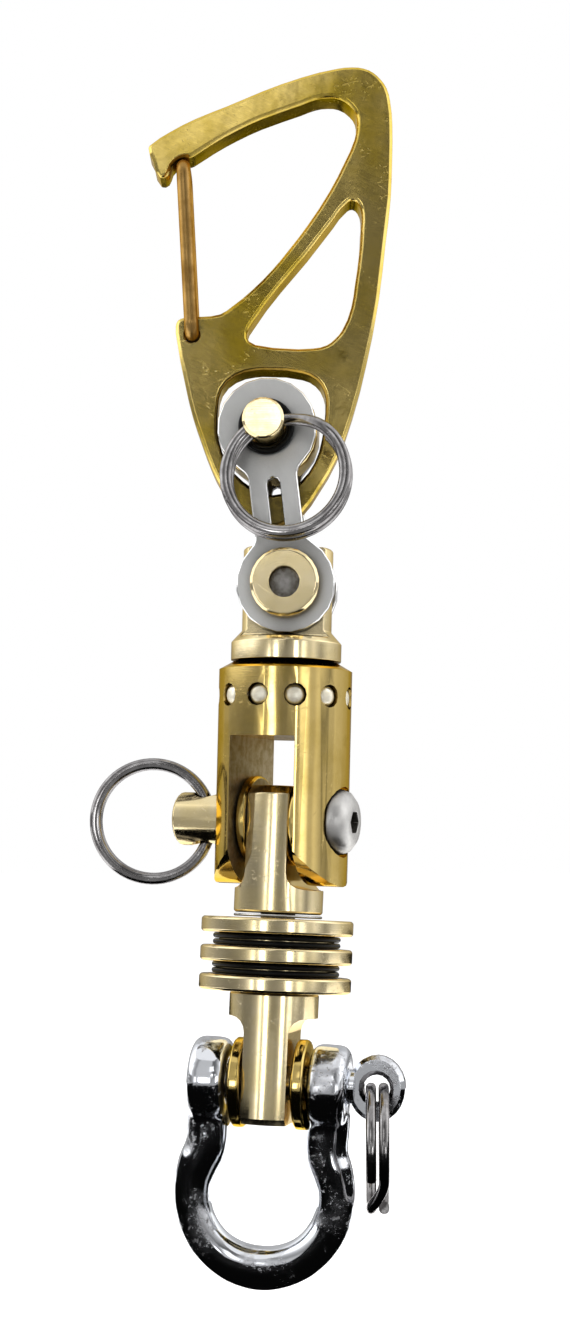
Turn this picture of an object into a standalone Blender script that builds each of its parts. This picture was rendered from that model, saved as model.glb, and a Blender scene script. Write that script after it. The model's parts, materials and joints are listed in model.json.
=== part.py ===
"""A carabiner keychain: a flat brass carabiner with a wire gate, a slotted double link, a swivel
fork held by a ring of balls, a hinged disc stack and a bow shackle, hung with three split rings.

It hangs along -Z and is seen in the photograph along +Y. The origin is the hang point, on the
inner edge at the top of the carabiner's main window. Each moving group has an empty on its
joint's axis, and the groups hang from each other as the real pieces do.
"""

import math

import bmesh
import bpy
from mathutils import Matrix, Vector

MM = 0.001
UP = (0, 0, 1)
TO_FRONT = (math.radians(90), 0, 0)
TO_BACK = (math.radians(-90), 0, 0)
TO_RIGHT = (0, math.radians(90), 0)
TO_LEFT = (0, math.radians(-90), 0)
FACE_ALONG_X = (math.radians(90), 0, math.radians(90))

# Fits and cuts
SEAT_GAP = 0.15 * MM
RUN_GAP = 0.2 * MM
CUT_OVER = 2.0 * MM
EDGE_BREAK = 0.3 * MM

# Facets
FINE_STEPS = 38
ROUND_STEPS = 24
PIN_STEPS = 16
BALL_HOLE_STEPS = 12
CURVE_STEPS = 2

# Carabiner frame: a plate cut to an outline, whose points are shares of its width and height
FRAME_WIDTH = 35.1 * MM
FRAME_HEIGHT = 66.2 * MM
FRAME_THICK = 5.5 * MM
FRAME_EDGE = 0.45 * MM
HANG_POINT_SHARE = (0.745, 0.067)
TOP_PIN_SHARE = (0.495, 0.790)
GATE_FOOT_SHARE = (0.179, 0.583)
GATE_TOP_SHARE = (0.144, 0.2185)
OUTER_SHARES = (
    (0.000, 0.175), (0.011, 0.168), (0.084, 0.142), (0.194, 0.112), (0.321, 0.085),
    (0.464, 0.053), (0.629, 0.022), (0.775, 0.003), (0.834, 0.000), (0.885, 0.003),
    (0.922, 0.012), (0.951, 0.026), (0.976, 0.045), (0.991, 0.074), (1.000, 0.125),
    (0.999, 0.200), (0.993, 0.288), (0.973, 0.380), (0.945, 0.505), (0.898, 0.635),
    (0.840, 0.754), (0.773, 0.850), (0.700, 0.918), (0.632, 0.967), (0.560, 0.993),
    (0.500, 1.000), (0.440, 0.990), (0.370, 0.960), (0.298, 0.913), (0.258, 0.871),
    (0.214, 0.808), (0.179, 0.753), (0.149, 0.687), (0.117, 0.594), (0.112, 0.563),
    (0.122, 0.550), (0.144, 0.545), (0.219, 0.542), (0.293, 0.537), (0.343, 0.520),
)
MAIN_WINDOW_SHARES = (
    (0.426, 0.484), (0.510, 0.439), (0.576, 0.397), (0.652, 0.344), (0.744, 0.269),
    (0.805, 0.206), (0.845, 0.157), (0.854, 0.122), (0.850, 0.103), (0.827, 0.085),
    (0.783, 0.070), (0.739, 0.067), (0.684, 0.071), (0.629, 0.082), (0.464, 0.113),
    (0.362, 0.138), (0.270, 0.165), (0.194, 0.191), (0.172, 0.197), (0.148, 0.197),
    (0.120, 0.203), (0.096, 0.215), (0.080, 0.236), (0.048, 0.240), (0.020, 0.205),
)
STRUT_WINDOW_SHARES = (
    (0.840, 0.290), (0.818, 0.294), (0.760, 0.331), (0.652, 0.405), (0.543, 0.473),
    (0.426, 0.557), (0.405, 0.579), (0.413, 0.596), (0.468, 0.606), (0.551, 0.611),
    (0.677, 0.611), (0.732, 0.604), (0.764, 0.591), (0.793, 0.573), (0.831, 0.523),
    (0.846, 0.475), (0.867, 0.392), (0.871, 0.353), (0.873, 0.320), (0.861, 0.299),
)
LINK_WINDOW_SHARES = (
    (0.284, 0.790), (0.286, 0.740), (0.301, 0.702), (0.358, 0.672), (0.437, 0.660),
    (0.498, 0.659), (0.633, 0.666), (0.687, 0.680), (0.720, 0.707), (0.727, 0.735),
    (0.719, 0.780), (0.710, 0.812), (0.682, 0.859), (0.625, 0.900), (0.568, 0.921),
    (0.511, 0.930), (0.453, 0.921), (0.389, 0.901), (0.324, 0.862), (0.290, 0.812),
)

# Wire gate: a staple astride the plate, with its feet turned into one hole
GATE_WIRE_RADIUS = 1.0 * MM
GATE_SIDE_GAP = 0.35 * MM
GATE_BEND = 1.7 * MM
GATE_FEET_GAP = 0.8 * MM
GATE_BEND_STEPS = 4

# Double link
LINK_SPACING = 22.5 * MM
LINK_END_RADIUS = 7.1 * MM
LINK_NECK = 7.0 * MM
LINK_FILLET = 2.0 * MM
LINK_THICK = 1.5 * MM
LINK_EDGE = 0.2 * MM
LINK_SLOT_WIDTH = 1.8 * MM
LINK_SLOT_LENGTH = 8.1 * MM
LINK_ARC_STEPS = 16
LINK_LEAN = math.radians(-6.85)
LINK_TURN = math.radians(-4)

# Roller and pin in the carabiner's lowest window
ROLLER_PLAY = 0.25 * MM
ROLLER_LENGTH = 6.8 * MM
TOP_PIN_RADIUS = 2.5 * MM
TOP_KNOB_RADIUS = 2.95 * MM
TOP_KNOB_LENGTH = 6.6 * MM
TOP_KNOB_HOLE_AT = 3.4 * MM
KNOB_RING_RADIUS = 0.45 * MM
KNOB_EDGE = 0.35 * MM

# Button-head screws, small and large
SMALL_HEAD_RADIUS = 2.85 * MM
SMALL_HEAD_HEIGHT = 1.65 * MM
SMALL_SOCKET = 2.0 * MM
SMALL_THREAD_RADIUS = 1.5 * MM
SMALL_THREAD_LENGTH = 5.0 * MM
HEAD_RADIUS = 4.75 * MM
HEAD_HEIGHT = 2.75 * MM
HEAD_SOCKET = 3.0 * MM
THREAD_RADIUS = 2.5 * MM
THREAD_LENGTH = 8.0 * MM
SOCKET_DEPTH_SHARE = 0.55
HEAD_RIM_SHARE = 0.18
HEAD_FLAT_SHARE = 0.42
HEAD_DOME_STEPS = 3

# Nut on the lower link screw
NUT_RADIUS = 4.95 * MM
NUT_HEIGHT = 2.5 * MM
NUT_MOUTH_RADIUS = 2.18 * MM
NUT_EDGE = 0.45 * MM
SCREW_END_RECESS = 1.5 * MM

# Swivel eye: a bar with two flats over a flange and a grooved stem
EYE_RADIUS = 6.5 * MM
EYE_TOP = 5.5 * MM
EYE_SHOULDER = 7.5 * MM
EYE_SHOULDER_FILLET = 0.5 * MM
FLANGE_RADIUS = 8.0 * MM
FLANGE_CONE_TOP = 6.5 * MM
FLANGE_TOP = 8.15 * MM
FLANGE_BOTTOM = 10.75 * MM
STEM_RADIUS = 6.8 * MM
STEM_LENGTH = 8.2 * MM
EYE_LEAN = math.radians(8.25)

# Swivel fork
FORK_RADIUS = 9.65 * MM
FORK_TOP_CHAMFER_WIDTH = 2.1 * MM
FORK_TOP_CHAMFER_HEIGHT = 1.2 * MM
FORK_FLOOR = 2.1 * MM
SLOT_WIDTH = 9.9 * MM
SLOT_TOP = 10.9 * MM
PIN_DROP = 22.9 * MM
PRONG_END_RADIUS = 9.3 * MM
SPOTFACE_AT = 8.35 * MM
SPOTFACE_RADIUS = 5.1 * MM
FORK_TURN = math.radians(-18)
BALL_COUNT = 11
BALL_RADIUS = 1.5 * MM
BALL_DROP = 5.1 * MM
BALL_CIRCLE = 7.75 * MM
BALL_PLAY = 0.15 * MM
FIRST_BALL_TURN = math.radians(30.6)

# Pin across the fork, with a knob at its left end, and the washers on it
CROSS_PIN_RADIUS = 3.5 * MM
CROSS_KNOB_RADIUS = 3.9 * MM
CROSS_KNOB_END = 16.0 * MM
SIDE_RING_AT = 11.8 * MM
FORK_WASHER_RADIUS = 6.5 * MM
FORK_WASHER_THICK = 1.4 * MM

# Tongues above and below the disc stack
TONGUE_ROD_RADIUS = 6.45 * MM
TONGUE_THICK = 6.4 * MM
TONGUE_FILLET = 2.2 * MM
UPPER_TONGUE_TOP = 4.8 * MM
UPPER_SHOULDER = 9.9 * MM
UPPER_BASE_BOTTOM = 13.45 * MM
UPPER_CHAMFER = 1.2 * MM
RETAINER_THICK = 0.4 * MM
LOWER_BASE_HEIGHT = 3.5 * MM
LOWER_PIN_DROP = 9.6 * MM
LOWER_TONGUE_END = 5.6 * MM
LOWER_CHAMFER = 0.9 * MM
STACK_TILT = math.radians(-3)
STACK_TURN = math.radians(12)

# Disc stack and the stud through it
DISC_COUNT = 3
DISC_RADIUS = 11.0 * MM
DISC_THICK = 2.25 * MM
DISC_EDGE = 0.3 * MM
BOSS_RADIUS = 8.35 * MM
O_RING_RADIUS = 0.4 * MM
O_RINGS_PER_GAP = 2
O_RING_PLAY = 0.09 * MM
STUD_RADIUS = 2.5 * MM
STUD_HEAD_RADIUS = 4.0 * MM
STUD_HEAD_HEIGHT = 1.7 * MM
STUD_REACH = 6.0 * MM

# Bow shackle
EAR_RADIUS = 6.2 * MM
EAR_INNER = 5.9 * MM
EAR_OUTER = 11.4 * MM
EAR_ROUNDING = 1.2 * MM
EAR_FOOT_AT = 8.7 * MM
EAR_FOOT_DROP = 5.5 * MM
THROAT_AT = 8.8 * MM
THROAT_DROP = 9.6 * MM
BOW_DROP = 15.9 * MM
BOW_RADIUS = 10.5 * MM
BOW_START_TURN = math.radians(-22)
LIMB_RADIUS = 3.2 * MM
LIMB_SHARES = (0.81, 0.90, 1.0, 0.95, 0.88, 0.86, 0.86, 0.87, 0.89, 0.93, 0.97, 1.0)
BOW_STEPS = 16
SHACKLE_SKEW = math.radians(1)
PIN_SKEW = math.radians(-1.7)
EAR_HOLE_RADIUS = 3.05 * MM
SHACKLE_PIN_RADIUS = 2.5 * MM
SHACKLE_WASHER_RADIUS = 6.5 * MM
SHACKLE_WASHER_THICK = 1.7 * MM
PIN_EYE_AT = 15.5 * MM
PIN_EYE_WIDTH = 8.2 * MM
PIN_EYE_HEIGHT = 9.5 * MM
PIN_EYE_THICK = 2.8 * MM
PIN_EYE_EDGE = 0.6 * MM
PIN_EYE_HOLE_RADIUS = 1.95 * MM

# Split rings: two turns of flattened wire, crossing once from one layer to the other
RING_OUTER_RADIUS = 9.3 * MM
RING_WIRE_WIDTH = 1.75 * MM
RING_WIRE_THICK = 1.4 * MM
RING_TURN_GAP = 0.5 * MM
RING_CROSSING = math.radians(60)
RING_POINTS = 44
RING_SECTION_POINTS = 8
TOP_RING_SAG = 0.1 * MM
TOP_RING_TURN = math.radians(-15.2)
TOP_RING_TILT = math.radians(-10)
TOP_RING_END = math.radians(-24)
TOP_KNOB_HOLE_RADIUS = 2.05 * MM
SIDE_RING_SHIFT = 0.45 * MM
SIDE_RING_DROP = 0.55 * MM
SIDE_RING_TURN = math.radians(22)
SIDE_RING_END = math.radians(29)
CROSS_KNOB_HOLE_RADIUS = 2.2 * MM
SHACKLE_RING_SAG = 0.1 * MM
SHACKLE_RING_TURN = math.radians(7.5)
SHACKLE_RING_LEAN = math.radians(-1.9)
SHACKLE_RING_END = math.radians(154)

# Sizes that follow from those above
ROLLER_RADIUS = (TOP_PIN_SHARE[0] - LINK_WINDOW_SHARES[0][0]) * FRAME_WIDTH - ROLLER_PLAY
PLATE_INNER = ROLLER_LENGTH / 2 + SEAT_GAP
PLATE_OUTER = PLATE_INNER + LINK_THICK
EYE_THICK = ROLLER_LENGTH
DISC_GAP = O_RINGS_PER_GAP * (2 * O_RING_RADIUS + O_RING_PLAY) + O_RING_PLAY
DISC_PITCH = DISC_THICK + DISC_GAP
STACK_HEIGHT = (DISC_COUNT - 1) * DISC_PITCH + DISC_THICK
RING_MID_RADIUS = RING_OUTER_RADIUS - RING_WIRE_WIDTH / 2
DISC_TOP_DROP = UPPER_BASE_BOTTOM + RETAINER_THICK + 2 * SEAT_GAP
FORK_DROP = FLANGE_BOTTOM + SEAT_GAP


def clear_scene():
    for obj in list(bpy.data.objects):
        bpy.data.objects.remove(obj, do_unlink=True)


def collection(name):
    made = bpy.data.collections.new(name)
    bpy.context.scene.collection.children.link(made)
    return made


def metal(name, color, roughness, metallic=1.0):
    made = bpy.data.materials.new(name)
    made.use_nodes = True
    shader = made.node_tree.nodes["Principled BSDF"]
    shader.inputs["Base Color"].default_value = (*color, 1)
    shader.inputs["Metallic"].default_value = metallic
    shader.inputs["Roughness"].default_value = roughness
    made.diffuse_color = (*color, 1)
    return made


def settle(obj, parent=None, at=(0, 0, 0), turn=(0, 0, 0)):
    """Puts an object at a place and rotation in its parent's frame."""
    obj.parent = parent
    obj.location = at
    obj.rotation_euler = turn
    return obj


def part(obj, finish, parent=None, at=(0, 0, 0), turn=(0, 0, 0)):
    """Makes an object a piece of the keychain."""
    obj.data.materials.clear()
    obj.data.materials.append(finish)
    keychain.objects.link(obj)
    return settle(obj, parent, at, turn)


def cutter(obj, parent=None, at=(0, 0, 0), turn=(0, 0, 0)):
    obj.hide_render = True
    obj.display_type = "WIRE"
    cutters.objects.link(obj)
    return settle(obj, parent, at, turn)


def joint_axis(name, parent=None, at=(0, 0, 0), turn=(0, 0, 0)):
    empty = bpy.data.objects.new(name, None)
    empty.empty_display_size = ROLLER_RADIUS
    keychain.objects.link(empty)
    return settle(empty, parent, at, turn)


def combine(obj, tool, operation="DIFFERENCE"):
    boolean = obj.modifiers.new(operation.title(), "BOOLEAN")
    boolean.operation = operation
    boolean.object = tool
    boolean.solver = "EXACT"


def smooth(obj, angle=math.radians(32)):
    obj.data.shade_smooth()
    obj.data.set_sharp_from_angle(angle=angle)
    return obj


def arc(center, radius, start, end, steps):
    """Points on an arc, both ends included, as (across, up)."""
    points = []
    for step in range(steps + 1):
        angle = start + (end - start) * step / steps
        points.append((center[0] + radius * math.cos(angle), center[1] + radius * math.sin(angle)))
    return points


def lathe(name, profile, steps=ROUND_STEPS, closed=False):
    """Turns a profile of (radius, height) points, outer side from top to bottom, about Z."""
    edges = [(i, i + 1) for i in range(len(profile) - 1)]
    if closed:
        edges.append((len(profile) - 1, 0))
    mesh = bpy.data.meshes.new(name)
    mesh.from_pydata([(radius, 0, height) for radius, height in profile], edges, [])
    obj = bpy.data.objects.new(name, mesh)
    screw = obj.modifiers.new("Turn", "SCREW")
    screw.steps = steps
    screw.render_steps = steps
    screw.use_merge_vertices = True
    screw.merge_threshold = 0.000001
    screw.use_smooth_shade = True
    return obj


def washer(name, outer, inner, top, bottom, edge, steps=ROUND_STEPS):
    """A flat ring between two heights, with its outer edges broken."""
    profile = [(inner, top), (outer - edge, top), (outer, top - edge)]
    profile += [(outer, bottom + edge), (outer - edge, bottom), (inner, bottom)]
    return lathe(name, profile, steps, closed=True)


def rod(name, radius, length, steps=PIN_STEPS):
    """A plain cylinder along Z about the origin."""
    mesh = bpy.data.meshes.new(name)
    shape = bmesh.new()
    bmesh.ops.create_cone(
        shape, cap_ends=True, segments=steps, radius1=radius, radius2=radius, depth=length
    )
    shape.to_mesh(mesh)
    shape.free()
    return bpy.data.objects.new(name, mesh)


def block(name, size):
    mesh = bpy.data.meshes.new(name)
    shape = bmesh.new()
    bmesh.ops.create_cube(shape, size=1, matrix=Matrix.Diagonal((*size, 1)))
    shape.to_mesh(mesh)
    shape.free()
    return bpy.data.objects.new(name, mesh)


def flat_curve(name, outlines, thickness, edge=0):
    """A plate cut to closed outlines, the inner ones being holes."""
    data = bpy.data.curves.new(name, "CURVE")
    data.dimensions = "2D"
    data.fill_mode = "BOTH"
    data.extrude = thickness / 2 - edge
    data.bevel_depth = edge
    data.bevel_resolution = 0
    data.offset = -edge
    for outline in outlines:
        spline = data.splines.new("POLY")
        spline.points.add(len(outline) - 1)
        for point, (across, up) in zip(spline.points, outline):
            point.co = (across, up, 0, 1)
        spline.use_cyclic_u = True
    return bpy.data.objects.new(name, data)


def as_mesh(obj):
    """The same piece as a mesh with its caps welded, so that it can be cut or joined."""
    bpy.context.scene.collection.objects.link(obj)
    bpy.context.view_layer.update()
    graph = bpy.context.evaluated_depsgraph_get()
    mesh = bpy.data.meshes.new_from_object(obj.evaluated_get(graph))
    shape = bmesh.new()
    shape.from_mesh(mesh)
    bmesh.ops.remove_doubles(shape, verts=shape.verts, dist=EDGE_BREAK / 100)
    bmesh.ops.recalc_face_normals(shape, faces=shape.faces)
    shape.to_mesh(mesh)
    shape.free()
    name = obj.name
    made = bpy.data.objects.new(name, mesh)
    made.matrix_world = obj.matrix_world
    bpy.data.objects.remove(obj)
    made.name = name
    return made


def wire(name, points, radius, resolution=2, shares=None):
    """A round wire along points, closed at its ends."""
    data = bpy.data.curves.new(name, "CURVE")
    data.dimensions = "3D"
    data.bevel_depth = radius
    data.bevel_resolution = resolution
    data.use_fill_caps = True
    spline = data.splines.new("POLY")
    spline.points.add(len(points) - 1)
    for index, (point, place) in enumerate(zip(spline.points, points)):
        point.co = (*place, 1)
        point.radius = shares[index] if shares else 1
    spline.use_smooth = True
    return bpy.data.objects.new(name, data)


def rounded_path(corners, bend, steps):
    """A path with each inner corner replaced by an arc of the bend radius."""
    path = [Vector(corners[0])]
    for before, corner, after in zip(corners, corners[1:], corners[2:]):
        corner = Vector(corner)
        back = (Vector(before) - corner).normalized()
        ahead = (Vector(after) - corner).normalized()
        half = back.angle(ahead) / 2
        middle = corner + (back + ahead).normalized() * bend / math.sin(half)
        start = corner + back * bend / math.tan(half) - middle
        end = corner + ahead * bend / math.tan(half) - middle
        for step in range(steps + 1):
            path.append(middle + start.slerp(end, step / steps) * bend)
    path.append(Vector(corners[-1]))
    return path


def frame_place(share):
    """Where a share of the frame's width and height lies, as (across, up) from the hang point."""
    across = (share[0] - HANG_POINT_SHARE[0]) * FRAME_WIDTH
    up = (HANG_POINT_SHARE[1] - share[1]) * FRAME_HEIGHT
    return across, up


def smooth_outline(shares):
    """A closed smooth curve through the frame's shares, cut into short straight steps."""
    data = bpy.data.curves.new("outline", "CURVE")
    data.resolution_u = CURVE_STEPS
    spline = data.splines.new("BEZIER")
    spline.bezier_points.add(len(shares) - 1)
    for point, share in zip(spline.bezier_points, shares):
        point.co = (*frame_place(share), 0)
        point.handle_left_type = "AUTO"
        point.handle_right_type = "AUTO"
    spline.use_cyclic_u = True
    guide = bpy.data.objects.new("outline", data)
    bpy.context.scene.collection.objects.link(guide)
    bpy.context.view_layer.update()
    mesh = bpy.data.meshes.new_from_object(guide.evaluated_get(bpy.context.evaluated_depsgraph_get()))
    points = [(vertex.co.x, vertex.co.y) for vertex in mesh.vertices]
    bpy.data.objects.remove(guide)
    bpy.data.meshes.remove(mesh)
    return points


def carabiner_frame():
    windows = (OUTER_SHARES + MAIN_WINDOW_SHARES, STRUT_WINDOW_SHARES, LINK_WINDOW_SHARES)
    outlines = [smooth_outline(shares) for shares in windows]
    plate = as_mesh(flat_curve("carabiner_frame", outlines, FRAME_THICK, FRAME_EDGE))
    smooth(plate)
    part(plate, brass_olive, turn=TO_FRONT)
    across, up = frame_place(GATE_FOOT_SHARE)
    hole = rod("gate_hole", GATE_WIRE_RADIUS + RUN_GAP, FRAME_THICK + 2 * CUT_OVER)
    combine(plate, cutter(hole, at=(across, 0, up), turn=TO_FRONT))


def gate_wire():
    foot = frame_place(GATE_FOOT_SHARE)
    top = frame_place(GATE_TOP_SHARE)
    axis = joint_axis("gate_axis", at=(foot[0], 0, foot[1]))
    rise = (top[0] - foot[0], top[1] - foot[1])
    side = FRAME_THICK / 2 + GATE_SIDE_GAP + GATE_WIRE_RADIUS
    corners = [(0, -GATE_FEET_GAP / 2, 0), (0, -side, 0), (rise[0], -side, rise[1])]
    corners += [(rise[0], side, rise[1]), (0, side, 0), (0, GATE_FEET_GAP / 2, 0)]
    path = rounded_path(corners, GATE_BEND, GATE_BEND_STEPS)
    part(wire("gate_wire", path, GATE_WIRE_RADIUS), bronze_wire, axis)


def dog_bone():
    """A link plate's outline: two round ends and a neck, with fillets between."""
    across = LINK_NECK / 2 + LINK_FILLET
    down = math.sqrt((LINK_END_RADIUS + LINK_FILLET) ** 2 - across**2)
    turn = math.atan2(-down, across)
    half = math.pi
    ends = LINK_ARC_STEPS
    bend = LINK_ARC_STEPS // 5
    low = -LINK_SPACING
    outline = arc((0, 0), LINK_END_RADIUS, turn, half - turn, ends)
    outline += arc((-across, -down), LINK_FILLET, -turn, 0, bend)[1:]
    outline += arc((-across, low + down), LINK_FILLET, 0, turn, bend)
    outline += arc((0, low), LINK_END_RADIUS, half + turn, 2 * half - turn, ends)[1:]
    outline += arc((across, low + down), LINK_FILLET, -half - turn, -half, bend)[1:]
    outline += arc((across, -down), LINK_FILLET, half, half + turn, bend)[:-1]
    return outline


def slot_outline(center, width, length):
    half = width / 2
    reach = length / 2 - half
    steps = PIN_STEPS // 4
    top = arc((0, center + reach), half, 0, math.pi, steps)
    return top + arc((0, center - reach), half, math.pi, 2 * math.pi, steps)


def circle(center, radius, steps=PIN_STEPS):
    return arc(center, radius, 0, 2 * math.pi, steps)[:-1]


def link_plate(name, parent, side):
    holes = [
        circle((0, 0), TOP_PIN_RADIUS + RUN_GAP),
        circle((0, -LINK_SPACING), THREAD_RADIUS + RUN_GAP),
        slot_outline(-LINK_SPACING / 2, LINK_SLOT_WIDTH, LINK_SLOT_LENGTH),
    ]
    plate = flat_curve(name, [dog_bone()] + holes, LINK_THICK, LINK_EDGE)
    middle = (PLATE_INNER + PLATE_OUTER) / 2
    part(plate, steel_grey, parent, at=(0, side * middle, 0), turn=TO_FRONT)


def button_screw(name, head_radius, head_height, socket, thread_radius, thread_length):
    """A button-head screw along Z, seated at height 0 with its head above."""
    flat = head_radius * HEAD_FLAT_SHARE
    rim = head_height * HEAD_RIM_SHARE
    profile = [(0, head_height)]
    for step in range(HEAD_DOME_STEPS + 1):
        angle = math.radians(90) * step / HEAD_DOME_STEPS
        across = flat + (head_radius - flat) * math.sin(angle)
        profile.append((across, rim + (head_height - rim) * math.cos(angle)))
    end = -thread_length
    profile += [(head_radius, 0), (thread_radius, 0), (thread_radius, end + EDGE_BREAK)]
    profile += [(thread_radius - EDGE_BREAK, end), (0, end)]
    screw = lathe(name, profile)
    depth = head_height * SOCKET_DEPTH_SHARE
    key = rod(name + "_socket", socket / math.sqrt(3), depth + CUT_OVER, steps=6)
    return screw, key, head_height - depth / 2 + CUT_OVER / 2


def place_screw(pieces, finish, parent, at, turn):
    """Puts a button-head screw and its socket's cutter in the same place."""
    screw, key, height = pieces
    part(screw, finish, parent, at, turn)
    combine(screw, cutter(key, screw, at=(0, 0, height)))


def knob_pin(name, knob_radius, knob_length, shaft_radius, shaft_length, bore_radius, bore_depth):
    """A pin along Z with a knob above height 0 and a tapped bore in its lower end."""
    end = -shaft_length
    profile = [(0, knob_length), (knob_radius - KNOB_EDGE, knob_length)]
    profile += [(knob_radius, knob_length - KNOB_EDGE), (knob_radius, 0), (shaft_radius, 0)]
    profile += [(shaft_radius, end), (bore_radius, end), (bore_radius, end + bore_depth)]
    profile.append((0, end + bore_depth))
    return lathe(name, profile)


def o_ring(name, bore, radius, parent, at, turn=(0, 0, 0)):
    """A rubber ring that fits round a bore."""
    section = arc((bore + radius, 0), radius, math.radians(90), math.radians(-270), 6)[:-1]
    part(lathe(name, section, closed=True), rubber, parent, at, turn)


def top_pin(links):
    part(
        washer(
            "link_roller", ROLLER_RADIUS, TOP_PIN_RADIUS + RUN_GAP, ROLLER_LENGTH / 2,
            -ROLLER_LENGTH / 2, EDGE_BREAK,
        ),
        brass_pale, links, turn=TO_FRONT,
    )
    seat = PLATE_OUTER + SEAT_GAP
    thread = SMALL_THREAD_LENGTH
    knob = knob_pin(
        "top_pin", TOP_KNOB_RADIUS, TOP_KNOB_LENGTH, TOP_PIN_RADIUS, seat + PLATE_OUTER,
        SMALL_THREAD_RADIUS + SEAT_GAP, thread + SEAT_GAP,
    )
    part(knob, brass_pale, links, at=(0, -seat, 0), turn=TO_FRONT)
    hole_at = (0, -seat - TOP_KNOB_HOLE_AT, 0)
    hole = rod("top_knob_hole", TOP_KNOB_HOLE_RADIUS, 2 * TOP_KNOB_RADIUS + 2 * CUT_OVER)
    hole_turn = (0, math.radians(90) + TOP_RING_TURN, 0)
    combine(knob, cutter(hole, links, at=hole_at, turn=hole_turn))
    ring_at = (0, -PLATE_OUTER - SEAT_GAP - KNOB_RING_RADIUS, 0)
    o_ring("knob_o_ring", TOP_KNOB_RADIUS + SEAT_GAP, KNOB_RING_RADIUS, links, ring_at, TO_FRONT)
    screw = button_screw(
        "top_pin_screw", SMALL_HEAD_RADIUS, SMALL_HEAD_HEIGHT, SMALL_SOCKET,
        SMALL_THREAD_RADIUS, thread,
    )
    place_screw(screw, steel_satin, links, (0, seat, 0), TO_BACK)
    return hole_at


def link_screw(links):
    seat = PLATE_OUTER + SEAT_GAP
    at = (0, seat, -LINK_SPACING)
    length = 2 * seat + NUT_HEIGHT - SCREW_END_RECESS
    screw = button_screw(
        "link_screw", HEAD_RADIUS, HEAD_HEIGHT, HEAD_SOCKET, THREAD_RADIUS, length
    )
    place_screw(screw, steel_satin, links, at, TO_BACK)
    bore = THREAD_RADIUS + SEAT_GAP
    step = NUT_HEIGHT - SCREW_END_RECESS + SEAT_GAP
    profile = [(NUT_MOUTH_RADIUS, NUT_HEIGHT), (NUT_RADIUS - NUT_EDGE, NUT_HEIGHT)]
    profile += [(NUT_RADIUS, NUT_HEIGHT - NUT_EDGE), (NUT_RADIUS, 0), (bore, 0), (bore, step)]
    profile.append((NUT_MOUTH_RADIUS, step))
    nut = lathe("link_nut", profile, closed=True)
    part(nut, brass_pale, links, at=(0, -seat, -LINK_SPACING), turn=TO_FRONT)


def links_body():
    pin = frame_place(TOP_PIN_SHARE)
    links = joint_axis("link_pin_axis", at=(pin[0], 0, pin[1]), turn=(0, LINK_LEAN, LINK_TURN))
    link_plate("front_link_plate", links, -1)
    link_plate("rear_link_plate", links, 1)
    hole_at = top_pin(links)
    link_screw(links)
    top_ring = joint_axis("top_ring_axis", links, hole_at, (TOP_RING_TILT, TOP_RING_TURN, 0))
    center = (0, 0, -RING_MID_RADIUS - TOP_RING_SAG)
    split_ring("top_split_ring", top_ring, center, (TO_FRONT[0], TOP_RING_END, 0))
    return links


def tongue_outline(half, top, shoulder, fillet, reach, bottom):
    """The side view of a bar milled to a tongue: flats, filleted shoulders and the full bar."""
    steps = LINK_ARC_STEPS // 4
    right = [(half, top)]
    right += arc((half + fillet, shoulder + fillet), fillet, math.pi, math.radians(270), steps)
    right += [(reach, shoulder), (reach, bottom)]
    return right + [(-across, up) for across, up in reversed(right)]


def swivel_eye(links):
    eye = joint_axis("eye_axis", links, at=(0, 0, -LINK_SPACING), turn=(0, EYE_LEAN, 0))
    stem_end = -FLANGE_BOTTOM - STEM_LENGTH
    ball_height = -FORK_DROP - BALL_DROP
    groove = BALL_RADIUS + BALL_PLAY
    half = math.acos((STEM_RADIUS - BALL_CIRCLE) / groove)
    profile = [(0, EYE_TOP), (EYE_RADIUS - EDGE_BREAK, EYE_TOP), (EYE_RADIUS, EYE_TOP - EDGE_BREAK)]
    profile += [(EYE_RADIUS, -FLANGE_CONE_TOP), (FLANGE_RADIUS, -FLANGE_TOP)]
    profile += [(FLANGE_RADIUS, -FLANGE_BOTTOM), (STEM_RADIUS, -FLANGE_BOTTOM)]
    profile += arc((BALL_CIRCLE, ball_height), groove, half, 2 * math.pi - half, 6)
    profile += [(STEM_RADIUS, stem_end + EDGE_BREAK), (STEM_RADIUS - EDGE_BREAK, stem_end)]
    profile.append((0, stem_end))
    body = part(lathe("swivel_eye", profile, FINE_STEPS), brass_pale, eye)
    flats = tongue_outline(
        EYE_THICK / 2, EYE_TOP + CUT_OVER, -EYE_SHOULDER, EYE_SHOULDER_FILLET,
        FLANGE_RADIUS + CUT_OVER, stem_end - CUT_OVER,
    )
    flats_tool = as_mesh(flat_curve("eye_flats", [flats], 2 * (FLANGE_RADIUS + CUT_OVER)))
    combine(body, cutter(flats_tool, eye, turn=FACE_ALONG_X), "INTERSECT")
    hole = rod("eye_hole", THREAD_RADIUS + RUN_GAP, EYE_THICK + 2 * CUT_OVER)
    combine(body, cutter(hole, eye, turn=TO_FRONT))
    return eye


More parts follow.
